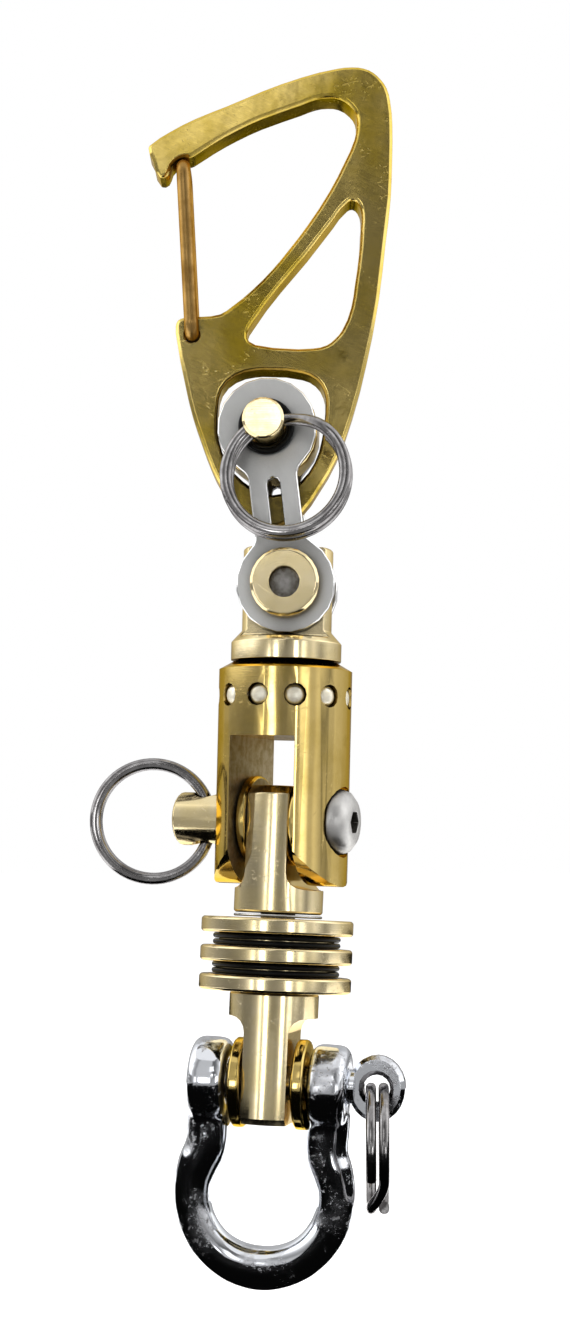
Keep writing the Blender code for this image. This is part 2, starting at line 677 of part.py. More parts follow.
def fork_body(fork):
    """The bored and slotted body, with rounded prong ends and the holes for the balls."""
    end = -PIN_DROP - PRONG_END_RADIUS
    bore = STEM_RADIUS + RUN_GAP
    floor = -SLOT_TOP + FORK_FLOOR
    shoulder = FORK_RADIUS - FORK_TOP_CHAMFER_WIDTH
    bar_end = end - EDGE_BREAK
    profile = [(0, floor), (bore, floor), (bore, 0), (shoulder, 0)]
    profile += [(FORK_RADIUS, -FORK_TOP_CHAMFER_HEIGHT), (FORK_RADIUS, bar_end), (0, bar_end)]
    body = part(lathe("fork_body", profile, FINE_STEPS), brass_gold, fork)
    reach = FORK_RADIUS + CUT_OVER
    width = PRONG_END_RADIUS
    side = [(reach, CUT_OVER), (-reach, CUT_OVER), (-reach, -PIN_DROP), (-width, -PIN_DROP)]
    side += arc((0, -PIN_DROP), width, math.pi, 2 * math.pi, LINK_ARC_STEPS)[1:]
    side.append((reach, -PIN_DROP))
    ends = as_mesh(flat_curve("prong_ends", [side], 2 * reach))
    combine(body, cutter(ends, fork, turn=FACE_ALONG_X), "INTERSECT")
    slot_bottom = end - CUT_OVER
    slot = block("fork_slot", (SLOT_WIDTH, 2 * reach, -SLOT_TOP - slot_bottom))
    combine(body, cutter(slot, fork, at=(0, 0, (slot_bottom - SLOT_TOP) / 2)))
    pin_hole = rod("cross_pin_hole", CROSS_PIN_RADIUS + RUN_GAP, 2 * reach)
    combine(body, cutter(pin_hole, fork, at=(0, 0, -PIN_DROP), turn=TO_RIGHT))
    for name, sign in (("right", 1), ("left", -1)):
        depth = reach - SPOTFACE_AT
        spot = rod("spotface_" + name, SPOTFACE_RADIUS, depth, ROUND_STEPS)
        at = (sign * (SPOTFACE_AT + depth / 2), 0, -PIN_DROP)
        combine(body, cutter(spot, fork, at=at, turn=TO_RIGHT))
    combine(body, cutter(ball_holes(), fork, at=(0, 0, -BALL_DROP)))


def ball_turn(index):
    return FIRST_BALL_TURN + 2 * math.pi * index / BALL_COUNT - math.radians(90)


def ball_holes():
    """One cutter with a radial hole for each ball."""
    mesh = bpy.data.meshes.new("ball_holes")
    shape = bmesh.new()
    inner = STEM_RADIUS - BALL_PLAY
    length = FORK_RADIUS + CUT_OVER - inner
    radius = BALL_RADIUS + BALL_PLAY
    for index in range(BALL_COUNT):
        out = Matrix.Translation((inner + length / 2, 0, 0))
        lay = Matrix.Rotation(math.radians(90), 4, "Y")
        swing = Matrix.Rotation(ball_turn(index), 4, "Z")
        bmesh.ops.create_cone(
            shape, cap_ends=True, segments=BALL_HOLE_STEPS, radius1=radius, radius2=radius,
            depth=length, matrix=swing @ out @ lay,
        )
    shape.to_mesh(mesh)
    shape.free()
    return bpy.data.objects.new("ball_holes", mesh)


def swivel_balls(fork):
    mesh = bpy.data.meshes.new("swivel_ball")
    shape = bmesh.new()
    bmesh.ops.create_uvsphere(shape, u_segments=10, v_segments=6, radius=BALL_RADIUS)
    shape.to_mesh(mesh)
    shape.free()
    mesh.shade_smooth()
    for index in range(BALL_COUNT):
        turn = ball_turn(index)
        place = (BALL_CIRCLE * math.cos(turn), BALL_CIRCLE * math.sin(turn), -BALL_DROP)
        ball = bpy.data.objects.new(f"swivel_ball_{index + 1:02d}", mesh)
        part(ball, steel_bright, fork, place, (0, math.radians(90), turn))


def cross_pin(fork):
    seat = SPOTFACE_AT + SEAT_GAP
    shaft = seat + SPOTFACE_AT - SEAT_GAP
    thread = THREAD_LENGTH
    pin = knob_pin(
        "cross_pin", CROSS_KNOB_RADIUS, CROSS_KNOB_END - seat, CROSS_PIN_RADIUS, shaft,
        THREAD_RADIUS + SEAT_GAP, thread + SEAT_GAP,
    )
    part(pin, brass_pale, fork, at=(-seat, 0, -PIN_DROP), turn=TO_LEFT)
    hole = rod("cross_knob_hole", CROSS_KNOB_HOLE_RADIUS, 2 * CROSS_KNOB_RADIUS + 2 * CUT_OVER)
    combine(pin, cutter(hole, fork, at=(-SIDE_RING_AT, 0, -PIN_DROP)))
    screw = button_screw(
        "cross_pin_screw", HEAD_RADIUS, HEAD_HEIGHT, HEAD_SOCKET, THREAD_RADIUS, thread
    )
    place_screw(screw, steel_satin, fork, (seat, 0, -PIN_DROP), TO_RIGHT)
    inner = CROSS_PIN_RADIUS + RUN_GAP
    half = FORK_WASHER_THICK / 2
    for name, sign in (("left", -1), ("right", 1)):
        middle = sign * (TONGUE_THICK / 2 + SEAT_GAP + half)
        ring = washer(
            "fork_washer_" + name, FORK_WASHER_RADIUS, inner, half, -half, DISC_EDGE
        )
        part(ring, brass_gold, fork, at=(middle, 0, -PIN_DROP), turn=TO_RIGHT)


def fork(eye):
    axis = joint_axis("swivel_axis", eye, at=(0, 0, -FORK_DROP), turn=(0, 0, FORK_TURN))
    fork_body(axis)
    swivel_balls(axis)
    cross_pin(axis)
    side_ring = joint_axis(
        "side_ring_axis", axis, at=(-SIDE_RING_AT, 0, -PIN_DROP), turn=(0, 0, SIDE_RING_TURN)
    )
    center = (SIDE_RING_SHIFT - RING_MID_RADIUS, 0, -SIDE_RING_DROP)
    split_ring("side_split_ring", side_ring, center, (TO_FRONT[0], SIDE_RING_END, 0))
    return axis


def milled_tongue(body, parent, shoulder, tip, far_end, hole_at):
    """Cuts the flats and the pin hole of a tongue whose tip is at one end of a turned bar."""
    sign = 1 if tip > far_end else -1
    outline = tongue_outline(
        TONGUE_THICK / 2, sign * tip + CUT_OVER, sign * shoulder, TONGUE_FILLET,
        TONGUE_ROD_RADIUS + CUT_OVER, sign * far_end - CUT_OVER,
    )
    outline = [(across, sign * up) for across, up in outline]
    tool = flat_curve(body.name + "_flats", [outline], 2 * (TONGUE_ROD_RADIUS + CUT_OVER))
    combine(body, cutter(as_mesh(tool), parent, turn=TO_FRONT), "INTERSECT")
    hole = rod(body.name + "_hole", hole_at[1], TONGUE_THICK + 2 * CUT_OVER)
    combine(body, cutter(hole, parent, at=(0, 0, hole_at[0]), turn=TO_RIGHT))


def upper_tongue(fork_axis):
    stack = joint_axis("cross_pin_axis", fork_axis, at=(0, 0, -PIN_DROP), turn=(STACK_TILT, 0, 0))
    top = UPPER_TONGUE_TOP
    bottom = -UPPER_BASE_BOTTOM
    cup = STUD_HEAD_RADIUS + RUN_GAP
    cup_top = bottom + STUD_HEAD_HEIGHT + RUN_GAP + SEAT_GAP
    rod_edge = TONGUE_ROD_RADIUS - UPPER_CHAMFER
    profile = [(0, top), (rod_edge, top), (TONGUE_ROD_RADIUS, top - UPPER_CHAMFER)]
    profile += [(TONGUE_ROD_RADIUS, bottom + EDGE_BREAK), (TONGUE_ROD_RADIUS - EDGE_BREAK, bottom)]
    profile += [(cup, bottom), (cup, cup_top), (0, cup_top)]
    body = part(lathe("upper_tongue", profile, FINE_STEPS), brass_pale, stack)
    hole = (0, CROSS_PIN_RADIUS + RUN_GAP)
    milled_tongue(body, stack, -UPPER_SHOULDER, top, bottom, hole)
    retainer_top = bottom - SEAT_GAP
    plate = washer(
        "stack_retainer", TONGUE_ROD_RADIUS, STUD_RADIUS + RUN_GAP, retainer_top,
        retainer_top - RETAINER_THICK, RETAINER_THICK / 4,
    )
    part(plate, steel_grey, stack)
    return stack


def stack_stud(lower):
    """The headed stud that carries the discs and the lower tongue."""
    head_bottom = RETAINER_THICK + 2 * SEAT_GAP
    head_top = head_bottom + STUD_HEAD_HEIGHT
    end = -STACK_HEIGHT - SEAT_GAP - STUD_REACH
    profile = [(0, head_top), (STUD_HEAD_RADIUS, head_top), (STUD_HEAD_RADIUS, head_bottom)]
    profile += [(STUD_RADIUS, head_bottom), (STUD_RADIUS, end), (0, end)]
    part(lathe("stack_stud", profile), steel_bright, lower)


def stack_discs(lower):
    bore = STUD_RADIUS + RUN_GAP
    names = ("top_disc", "middle_disc", "bottom_disc")
    for index in range(DISC_COUNT):
        top = -index * DISC_PITCH
        bottom = top - DISC_THICK
        last = index == DISC_COUNT - 1
        foot = bottom if last else top - DISC_PITCH + SEAT_GAP
        profile = [(bore, top), (DISC_RADIUS - DISC_EDGE, top), (DISC_RADIUS, top - DISC_EDGE)]
        profile += [(DISC_RADIUS, bottom + DISC_EDGE), (DISC_RADIUS - DISC_EDGE, bottom)]
        if not last:
            profile += [(BOSS_RADIUS, bottom), (BOSS_RADIUS, foot)]
        profile.append((bore, foot))
        part(lathe(names[index], profile, FINE_STEPS, closed=True), brass_pale, lower)
        if last:
            continue
        for ring in range(O_RINGS_PER_GAP):
            drop = O_RING_PLAY + O_RING_RADIUS + ring * (2 * O_RING_RADIUS + O_RING_PLAY)
            name = f"stack_o_ring_{index * O_RINGS_PER_GAP + ring + 1}"
            at = (0, 0, bottom - drop)
            o_ring(name, BOSS_RADIUS + O_RING_PLAY, O_RING_RADIUS, lower, at)


def lower_tongue(lower):
    top = -STACK_HEIGHT - SEAT_GAP
    shoulder = top - LOWER_BASE_HEIGHT
    pin_height = shoulder - LOWER_PIN_DROP
    end = pin_height - LOWER_TONGUE_END
    bore = STUD_RADIUS + SEAT_GAP
    bore_end = top - STUD_REACH - SEAT_GAP
    rod_edge = TONGUE_ROD_RADIUS - LOWER_CHAMFER
    profile = [(0, bore_end), (bore, bore_end), (bore, top), (TONGUE_ROD_RADIUS - EDGE_BREAK, top)]
    profile += [(TONGUE_ROD_RADIUS, top - EDGE_BREAK), (TONGUE_ROD_RADIUS, end + LOWER_CHAMFER)]
    profile += [(rod_edge, end), (0, end)]
    body = part(lathe("lower_tongue", profile, FINE_STEPS), brass_pale, lower)
    hole = (pin_height, SHACKLE_PIN_RADIUS + RUN_GAP + EDGE_BREAK / 2)
    milled_tongue(body, lower, shoulder, end, top, hole)
    return pin_height


def disc_stack(stack):
    lower = joint_axis("stack_axis", stack, at=(0, 0, -DISC_TOP_DROP), turn=(0, 0, STACK_TURN))
    stack_stud(lower)
    stack_discs(lower)
    return lower, lower_tongue(lower)


def bow_path():
    """The middle line of the shackle's bow, from one ear round to the other."""
    ear_middle = (EAR_INNER + EAR_OUTER) / 2
    arc_points = arc(
        (0, -BOW_DROP), BOW_RADIUS, -BOW_START_TURN, -math.radians(90), BOW_STEPS // 2
    )
    half = [(ear_middle, 0), (EAR_FOOT_AT, -EAR_FOOT_DROP), (THROAT_AT, -THROAT_DROP)] + arc_points
    whole = half + [(-across, up) for across, up in reversed(half[:-1])]
    return [(across, 0, up) for across, up in whole]


def ear(name):
    half = (EAR_OUTER - EAR_INNER) / 2
    inner = EAR_RADIUS - EAR_ROUNDING
    profile = [(0, half)] + arc(
        (inner, half - EAR_ROUNDING), EAR_ROUNDING, math.radians(90), 0, 3
    )
    profile += arc((inner, EAR_ROUNDING - half), EAR_ROUNDING, 0, math.radians(-90), 3)
    profile.append((0, -half))
    return lathe(name, profile)


def shackle_bow(shackle):
    shares = LIMB_SHARES + LIMB_SHARES[-2::-1]
    bow = as_mesh(wire("shackle_bow", bow_path(), LIMB_RADIUS, 4, shares))
    smooth(bow)
    part(bow, chrome, shackle)
    for name, sign in (("ear_right", 1), ("ear_left", -1)):
        middle = sign * (EAR_INNER + EAR_OUTER) / 2
        combine(bow, cutter(ear(name), shackle, at=(middle, 0, 0), turn=TO_RIGHT), "UNION")
    hole = rod("shackle_hole", EAR_HOLE_RADIUS, 2 * (EAR_OUTER + CUT_OVER))
    combine(bow, cutter(hole, shackle, turn=TO_RIGHT))


def shackle_pin(shackle):
    """The pin, from the left ear's face to the flat eye outside the right ear."""
    turns = [2 * math.pi * step / ROUND_STEPS for step in range(ROUND_STEPS)]
    half_width = PIN_EYE_WIDTH / 2
    half_height = PIN_EYE_HEIGHT / 2
    outline = [(half_width * math.cos(turn), half_height * math.sin(turn)) for turn in turns]
    hole = circle((0, 0), PIN_EYE_HOLE_RADIUS)
    pin = as_mesh(flat_curve("shackle_pin", [outline, hole], PIN_EYE_THICK, PIN_EYE_EDGE))
    smooth(pin)
    skewed = joint_axis("shackle_pin_axis", shackle, turn=(0, PIN_SKEW, 0))
    part(pin, chrome, skewed, at=(PIN_EYE_AT, 0, 0), turn=TO_FRONT)
    end = PIN_EYE_AT - half_width + PIN_EYE_HOLE_RADIUS / 2
    length = end + EAR_OUTER
    shank = rod("shackle_shank", SHACKLE_PIN_RADIUS, length)
    combine(pin, cutter(shank, skewed, at=(end - length / 2, 0, 0), turn=TO_RIGHT), "UNION")
    return skewed


def shackle_washers(pin_axis):
    inner = SHACKLE_PIN_RADIUS + RUN_GAP
    half = SHACKLE_WASHER_THICK / 2
    by_tongue = -TONGUE_THICK / 2 - 2 * SEAT_GAP - half
    by_ear = EAR_INNER - 2 * SEAT_GAP - half
    for name, middle in (("left", by_tongue), ("right", by_ear)):
        ring = washer("shackle_washer_" + name, SHACKLE_WASHER_RADIUS, inner, half, -half, DISC_EDGE)
        part(ring, brass_gold, pin_axis, at=(middle, 0, 0), turn=TO_RIGHT)


def bow_shackle(lower, pin_height):
    shackle = joint_axis(
        "shackle_axis", lower, at=(0, 0, pin_height), turn=(0, SHACKLE_SKEW, 0)
    )
    shackle_bow(shackle)
    pin_axis = shackle_pin(shackle)
    shackle_washers(pin_axis)
    ring = joint_axis(
        "shackle_ring_axis", pin_axis, at=(PIN_EYE_AT, 0, 0),
        turn=(0, SHACKLE_RING_LEAN, SHACKLE_RING_TURN),
    )
    center = (0, 0, -RING_MID_RADIUS - SHACKLE_RING_SAG)
    turn = (FACE_ALONG_X[0], SHACKLE_RING_END, FACE_ALONG_X[2])
    split_ring("shackle_split_ring", ring, center, turn)


def ring_points():
    """Two turns in two layers: the wire crosses from one layer to the other in one short arc."""
    lift = (RING_WIRE_THICK + RING_TURN_GAP) / 2
    turn = 2 * math.pi - RING_CROSSING
    total = 2 * turn + RING_CROSSING
    points = []
    for index in range(RING_POINTS + 1):
        angle = total * index / RING_POINTS
        share = min(max((angle - turn) / RING_CROSSING, 0), 1)
        height = lift * (2 * share * share * (3 - 2 * share) - 1)
        around = (RING_MID_RADIUS * math.cos(angle), -RING_MID_RADIUS * math.sin(angle))
        points.append((*around, height))
    return points


def print_least_gap(points):
    """Prints the least gap between a ring's two turns, measured along its straight steps."""
    fine = []
    for start, end in zip(points, points[1:]):
        fine += [Vector(start).lerp(Vector(end), step / 10) for step in range(10)]
    away = len(fine) // 4
    least = min(
        (first - second).length
        for index, first in enumerate(fine)
        for second in fine[index + away:]
    )
    print(f"split ring, least gap between turns: {(least - RING_WIRE_THICK) / MM:.2f} mm")


def wire_section():
    """The flattened round section of the split rings' wire."""
    data = bpy.data.curves.new("wire_section", "CURVE")
    data.dimensions = "2D"
    spline = data.splines.new("POLY")
    spline.points.add(RING_SECTION_POINTS - 1)
    for index, point in enumerate(spline.points):
        angle = 2 * math.pi * index / RING_SECTION_POINTS
        across = RING_WIRE_WIDTH / 2 * math.cos(angle)
        point.co = (across, RING_WIRE_THICK / 2 * math.sin(angle), 0, 1)
    spline.use_cyclic_u = True
    return bpy.data.objects.new("wire_section", data)


def ring_mesh():
    """The shape that the three split rings share."""
    section = wire_section()
    data = bpy.data.curves.new("split_ring", "CURVE")
    data.dimensions = "3D"
    data.twist_mode = "Z_UP"
    data.bevel_mode = "OBJECT"
    data.bevel_object = section
    data.use_fill_caps = True
    points = ring_points()
    print_least_gap(points)
    spline = data.splines.new("POLY")
    spline.points.add(len(points) - 1)
    for point, place in zip(spline.points, points):
        point.co = (*place, 1)
    ring = as_mesh(bpy.data.objects.new("split_ring", data))
    smooth(ring)
    mesh = ring.data
    bpy.data.objects.remove(ring)
    bpy.data.objects.remove(section)
    return mesh


def split_ring(name, parent, center, turn):
    part(bpy.data.objects.new(name, ring_shape), steel_ring, parent, center, turn)


clear_scene()
keychain = collection("carabiner_keychain")
cutters = collection("cutters")
brass_olive = metal("polished_brass_olive", (0.56, 0.44, 0.14), 0.28)
brass_gold = metal("polished_brass_gold", (0.72, 0.53, 0.20), 0.2)
brass_pale = metal("polished_brass_pale", (0.80, 0.70, 0.45), 0.22)
bronze_wire = metal("bronze_wire", (0.52, 0.30, 0.12), 0.3)
steel_grey = metal("blasted_steel", (0.62, 0.63, 0.65), 0.45)
steel_satin = metal("satin_steel", (0.68, 0.68, 0.68), 0.35)
steel_bright = metal("bright_steel", (0.75, 0.74, 0.70), 0.2)
steel_ring = metal("ring_steel", (0.50, 0.49, 0.49), 0.22)
chrome = metal("chrome", (0.72, 0.72, 0.74), 0.1)
rubber = metal("black_rubber", (0.012, 0.012, 0.012), 0.35, metallic=0.0)
ring_shape = ring_mesh()

carabiner_frame()
gate_wire()
link_axis = links_body()
fork_axis = fork(swivel_eye(link_axis))
stack_axis, shackle_height = disc_stack(upper_tongue(fork_axis))
bow_shackle(stack_axis, shackle_height)
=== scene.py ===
import json
import math

import bmesh
import bpy
from mathutils import Euler, Matrix, Vector, noise


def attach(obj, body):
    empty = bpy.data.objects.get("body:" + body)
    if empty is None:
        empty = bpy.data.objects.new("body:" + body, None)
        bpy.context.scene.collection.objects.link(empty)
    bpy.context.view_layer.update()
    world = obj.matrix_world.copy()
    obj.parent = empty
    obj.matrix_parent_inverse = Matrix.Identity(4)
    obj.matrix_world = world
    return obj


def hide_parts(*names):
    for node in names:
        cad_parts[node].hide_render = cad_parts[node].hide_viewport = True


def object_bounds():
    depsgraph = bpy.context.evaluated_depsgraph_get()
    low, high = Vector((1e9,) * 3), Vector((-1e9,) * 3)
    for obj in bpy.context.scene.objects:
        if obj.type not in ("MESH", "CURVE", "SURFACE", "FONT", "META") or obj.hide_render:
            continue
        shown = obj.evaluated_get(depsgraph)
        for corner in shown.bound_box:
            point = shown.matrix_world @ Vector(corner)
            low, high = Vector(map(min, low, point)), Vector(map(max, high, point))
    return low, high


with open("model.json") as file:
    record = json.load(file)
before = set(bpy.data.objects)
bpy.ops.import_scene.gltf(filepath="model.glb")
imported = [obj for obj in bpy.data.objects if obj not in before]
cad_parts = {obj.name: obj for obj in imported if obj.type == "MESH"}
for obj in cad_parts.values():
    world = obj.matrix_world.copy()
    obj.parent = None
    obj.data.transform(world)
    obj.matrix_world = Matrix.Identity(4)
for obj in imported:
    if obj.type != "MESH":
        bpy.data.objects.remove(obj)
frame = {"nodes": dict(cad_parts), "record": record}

cad_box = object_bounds()

# Looks of the carabiner keychain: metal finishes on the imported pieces, and finer pieces in
# place of those whose facets would show. A few of their sizes are slightly off the solids': the
# rings' turns are closer, the balls larger and the bow's ears rounder. Lengths are in metres, in
# the CAD's frame.
MM = 0.001
UP = (0, 0, 1)
TO_FRONT = (math.radians(90), 0, 0)
TO_RIGHT = (0, math.radians(90), 0)
FACE_ALONG_X = (math.radians(90), 0, math.radians(90))

# Where the hanging groups are, with the values of the CAD source
PIN_AT = (-8.775 * MM, 0, -47.863 * MM)
LINK_LEAN = math.radians(-6.85)
LINK_TURN = math.radians(-4)
LINK_SPACING = 22.5 * MM
EYE_LEAN = math.radians(8.25)
FORK_DROP = 10.9 * MM
FORK_TURN = math.radians(-18)
PIN_DROP = 22.9 * MM
STACK_TILT = math.radians(-3)
STACK_TURN = math.radians(12)
DISC_TOP_DROP = 14.15 * MM
SHACKLE_DROP = 23.74 * MM
SHACKLE_SKEW = math.radians(1)
PIN_SKEW = math.radians(-1.7)

# Camera: level, straight at the object, shifted to the photograph's frame. Its height, reach and
# shift are in pixels of the photograph.
IMAGE_HEIGHT = 1336
CAMERA_AT = (-6.5 * MM, -296.4 * MM, -104.6 * MM)
CAMERA_REACH = 2044
CAMERA_SHIFT = 157

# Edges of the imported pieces
BEVEL_WIDTH = 0.12 * MM
BEVEL_ANGLE = math.radians(34)
FLAT_ANGLE = math.radians(0.8)
WELD_REACH = 0.002 * MM

# Split rings
RING_MID_RADIUS = 8.425 * MM
RING_WIRE_WIDTH = 1.72 * MM
RING_WIRE_THICK = 1.5 * MM
RING_TURN_GAP = 0.32 * MM
RING_CROSSING = math.radians(48)
RING_POINTS = 150
RING_SIDES = 20
RING_FULLNESS = 0.85
RING_END_BEVEL = 0.12 * MM
TOP_RING_AT = 8.6 * MM
TOP_RING_SAG = 0.1 * MM
TOP_RING_TURN = math.radians(-15.2)
TOP_RING_TILT = math.radians(-10)
TOP_RING_END = math.radians(-24)
SIDE_RING_AT = 11.8 * MM
SIDE_RING_SHIFT = 0.45 * MM
SIDE_RING_DROP = 0.55 * MM
SIDE_RING_TURN = math.radians(22)
SIDE_RING_END = math.radians(29)
PIN_EYE_AT = 15.5 * MM
SHACKLE_RING_SAG = 0.1 * MM
SHACKLE_RING_TURN = math.radians(7.5)
SHACKLE_RING_LEAN = math.radians(-1.9)
SHACKLE_RING_END = math.radians(154)

# Swivel balls and O-rings
BALL_COUNT = 11
BALL_RADIUS = 1.58 * MM
BALL_DROP = 5.1 * MM
BALL_REACH = 1.72 * MM
BALL_CIRCLE = 7.75 * MM
FIRST_BALL_TURN = math.radians(30.6)
BALL_FLATNESS = 0.45
BALL_DENT_SCALE = 1100
BALL_DENT_STEP = 7
BALL_DENT = 0.03
BALL_FACE_DENT = 0.06
KNOB_RING_BORE = 3.1 * MM
KNOB_RING_RADIUS = 0.45 * MM
KNOB_RING_AT = 5.65 * MM
BOSS_RADIUS = 8.35 * MM
O_RING_RADIUS = 0.4 * MM
O_RING_PLAY = 0.09 * MM
O_RING_SIDES = 20
O_RING_STEPS = 96
STACK_O_RINGS = 4
O_RINGS_PER_GAP = 2
DISC_THICK = 2.25 * MM
DISC_PITCH = 4.12 * MM

# Half the width of the fork's slot, whose walls are left rough
SLOT_HALF = 4.95 * MM

# Shackle bow
EAR_RADIUS = 6.2 * MM
EAR_INNER = 5.9 * MM
EAR_OUTER = 11.4 * MM
EAR_ROUNDING = 1.5 * MM
EAR_FOOT_AT = 8.7 * MM
LIMB_START_DROP = 3.5 * MM
EAR_FOOT_DROP = 5.5 * MM
THROAT_AT = 8.8 * MM
THROAT_DROP = 9.6 * MM
BOW_DROP = 15.9 * MM
BOW_RADIUS = 10.5 * MM
BOW_START_TURN = math.radians(-22)
LIMB_RADIUS = 3.2 * MM
LIMB_SHARES = (1.0, 1.0, 0.98, 0.95, 0.88, 0.86, 0.86, 0.87, 0.89, 0.93, 0.97, 1.0)
EAR_HOLE_RADIUS = 3.05 * MM
BOW_STEPS = 16
BOW_VOXEL = 0.42 * MM
BOW_EASE_STEPS = 5
CAST_SCALE = 230
CAST_DEPTH = 0.035 * MM

# Wire gate
GATE_AXIS = (-19.867 * MM, 0, -34.159 * MM)
GATE_RISE = (-1.229 * MM, 24.130 * MM)
GATE_WIRE_RADIUS = 1.0 * MM
GATE_SIDE = 4.1 * MM
GATE_BEND = 1.7 * MM
GATE_BEND_STEPS = 12
GATE_FEET_GAP = 0.8 * MM

# Studio: what the polished pieces reflect, as (azimuth in degrees from the front, brightness)
ROOM_LOW = (
    (-180, 0.22), (-130, 0.55), (-96, 0.3), (-74, 0.2), (-60, 0.24), (-46, 0.45),
    (-38, 1.2), (-36, 3.0), (-34, 3.0), (-31, 0.6), (-26, 0.5), (-23, 5.5), (-18, 5.5), (-15, 0.5),
    (-6, 0.26), (3, 0.27), (16, 0.45), (19, 5.0), (23, 5.0), (26, 0.35), (31, 0.6),
    (35, 2.4), (40, 1.7), (45, 0.7), (52, 0.7), (57, 1.0), (68, 0.55), (76, 0.3),
    (86, 0.55), (98, 0.8), (130, 0.55), (180, 0.22),
)
ROOM_HIGH = (
    (-180, 0.5), (-150, 0.6), (-125, 1.2), (-100, 1.8), (-75, 1.8), (-55, 0.7), (-36, 0.3),
    (-28, 0.6), (-14, 0.6), (-10, 0.2), (-6, 0.15), (8, 0.15), (24, 0.3), (50, 0.7), (75, 1.6),
    (100, 1.7), (125, 1.1), (150, 0.6), (180, 0.5),
)
ROOM_REACH = 0.9
ROOM_SPLIT = 0.01
ROOM_TOP = 1.2
CARD_STEPS = 72
DARK = 0.002

# Upright cards in front, as (name, span across, span of heights, brightness)
UPRIGHT_CARDS = (
    ("bar_glow", (-0.35, 0.0), (0.26, 0.6), 1.45),
    ("corner_glow", (0.03, 0.3), (0.05, 0.13), 0.8),
    ("knob_glow", (-0.20, -0.09), (0.08, 0.15), 3.0),
    ("nut_glow", (-0.22, -0.05), (0.012, 0.06), 0.75),
)

# Cards on the floor, as (name, span across, span from front to back, brightness)
FLOOR_CARDS = (
    ("near_floor", (-0.07, 0.055), (-0.06, 0.03), DARK),
    ("front_floor", (-0.9, 0.9), (-0.88, -0.062), 0.4),
    ("rear_floor", (-0.8, 0.8), (0.3, 0.55), 0.3),
    ("far_floor", (-0.8, 0.8), (0.55, 1.3), 0.01),
)

# Lights that reflections don't show, as (name, place, size, power)
LIGHTS = (
    ("key", (-0.35, -0.45, 0.35), (0.5, 0.5), 5.5),
    ("fill", (0.45, -0.35, 0.1), (0.5, 0.7), 3.0),
)
LIGHT_AIM = (0, 0, -0.09)
FLOOR_DROP = 12 * MM
FLOOR_SIZE = 6.0
FLOOR_TONE = 0.86
FLOOR_GLOW = 0.55
WORLD_LIGHT = 0.55

# Polished finishes: scales of their noise, turns of scratches, the tone of dirt and painted shade in
# recesses, tones of rough walls, and the stretch of the fine lines on turned pieces
LAY_SCALE = 900
SCRATCH_SCALE = 2600
SCRATCH_TURNS = ((0.3, 0.9, 0.2), (1.2, 0.2, 0.7), (0.5, 1.9, 0))
GRIME_AND_SHADE_SCALE = 1300
DENT_SCALE = 420
WAVE_SCALE = 150
GRIME_AND_SHADE_TONE = (0.05, 0.04, 0.025)
WALL_TONES = ((0.26, 0.21, 0.13), (0.40, 0.35, 0.26))
TURNED_LAY = (0.15, 0.15, 9)


def frame_at(parent, at=(0, 0, 0), turn=(0, 0, 0)):
    return parent @ Matrix.Translation(at) @ Euler(turn).to_matrix().to_4x4()


links = frame_at(Matrix.Identity(4), PIN_AT, (0, LINK_LEAN, LINK_TURN))
eye = frame_at(links, (0, 0, -LINK_SPACING), (0, EYE_LEAN, 0))
fork = frame_at(eye, (0, 0, -FORK_DROP), (0, 0, FORK_TURN))
upper = frame_at(fork, (0, 0, -PIN_DROP), (STACK_TILT, 0, 0))
lower = frame_at(upper, (0, 0, -DISC_TOP_DROP), (0, 0, STACK_TURN))
shackle = frame_at(lower, (0, 0, -SHACKLE_DROP), (0, SHACKLE_SKEW, 0))
shackle_pin = frame_at(shackle, (0, 0, 0), (0, PIN_SKEW, 0))


# Materials


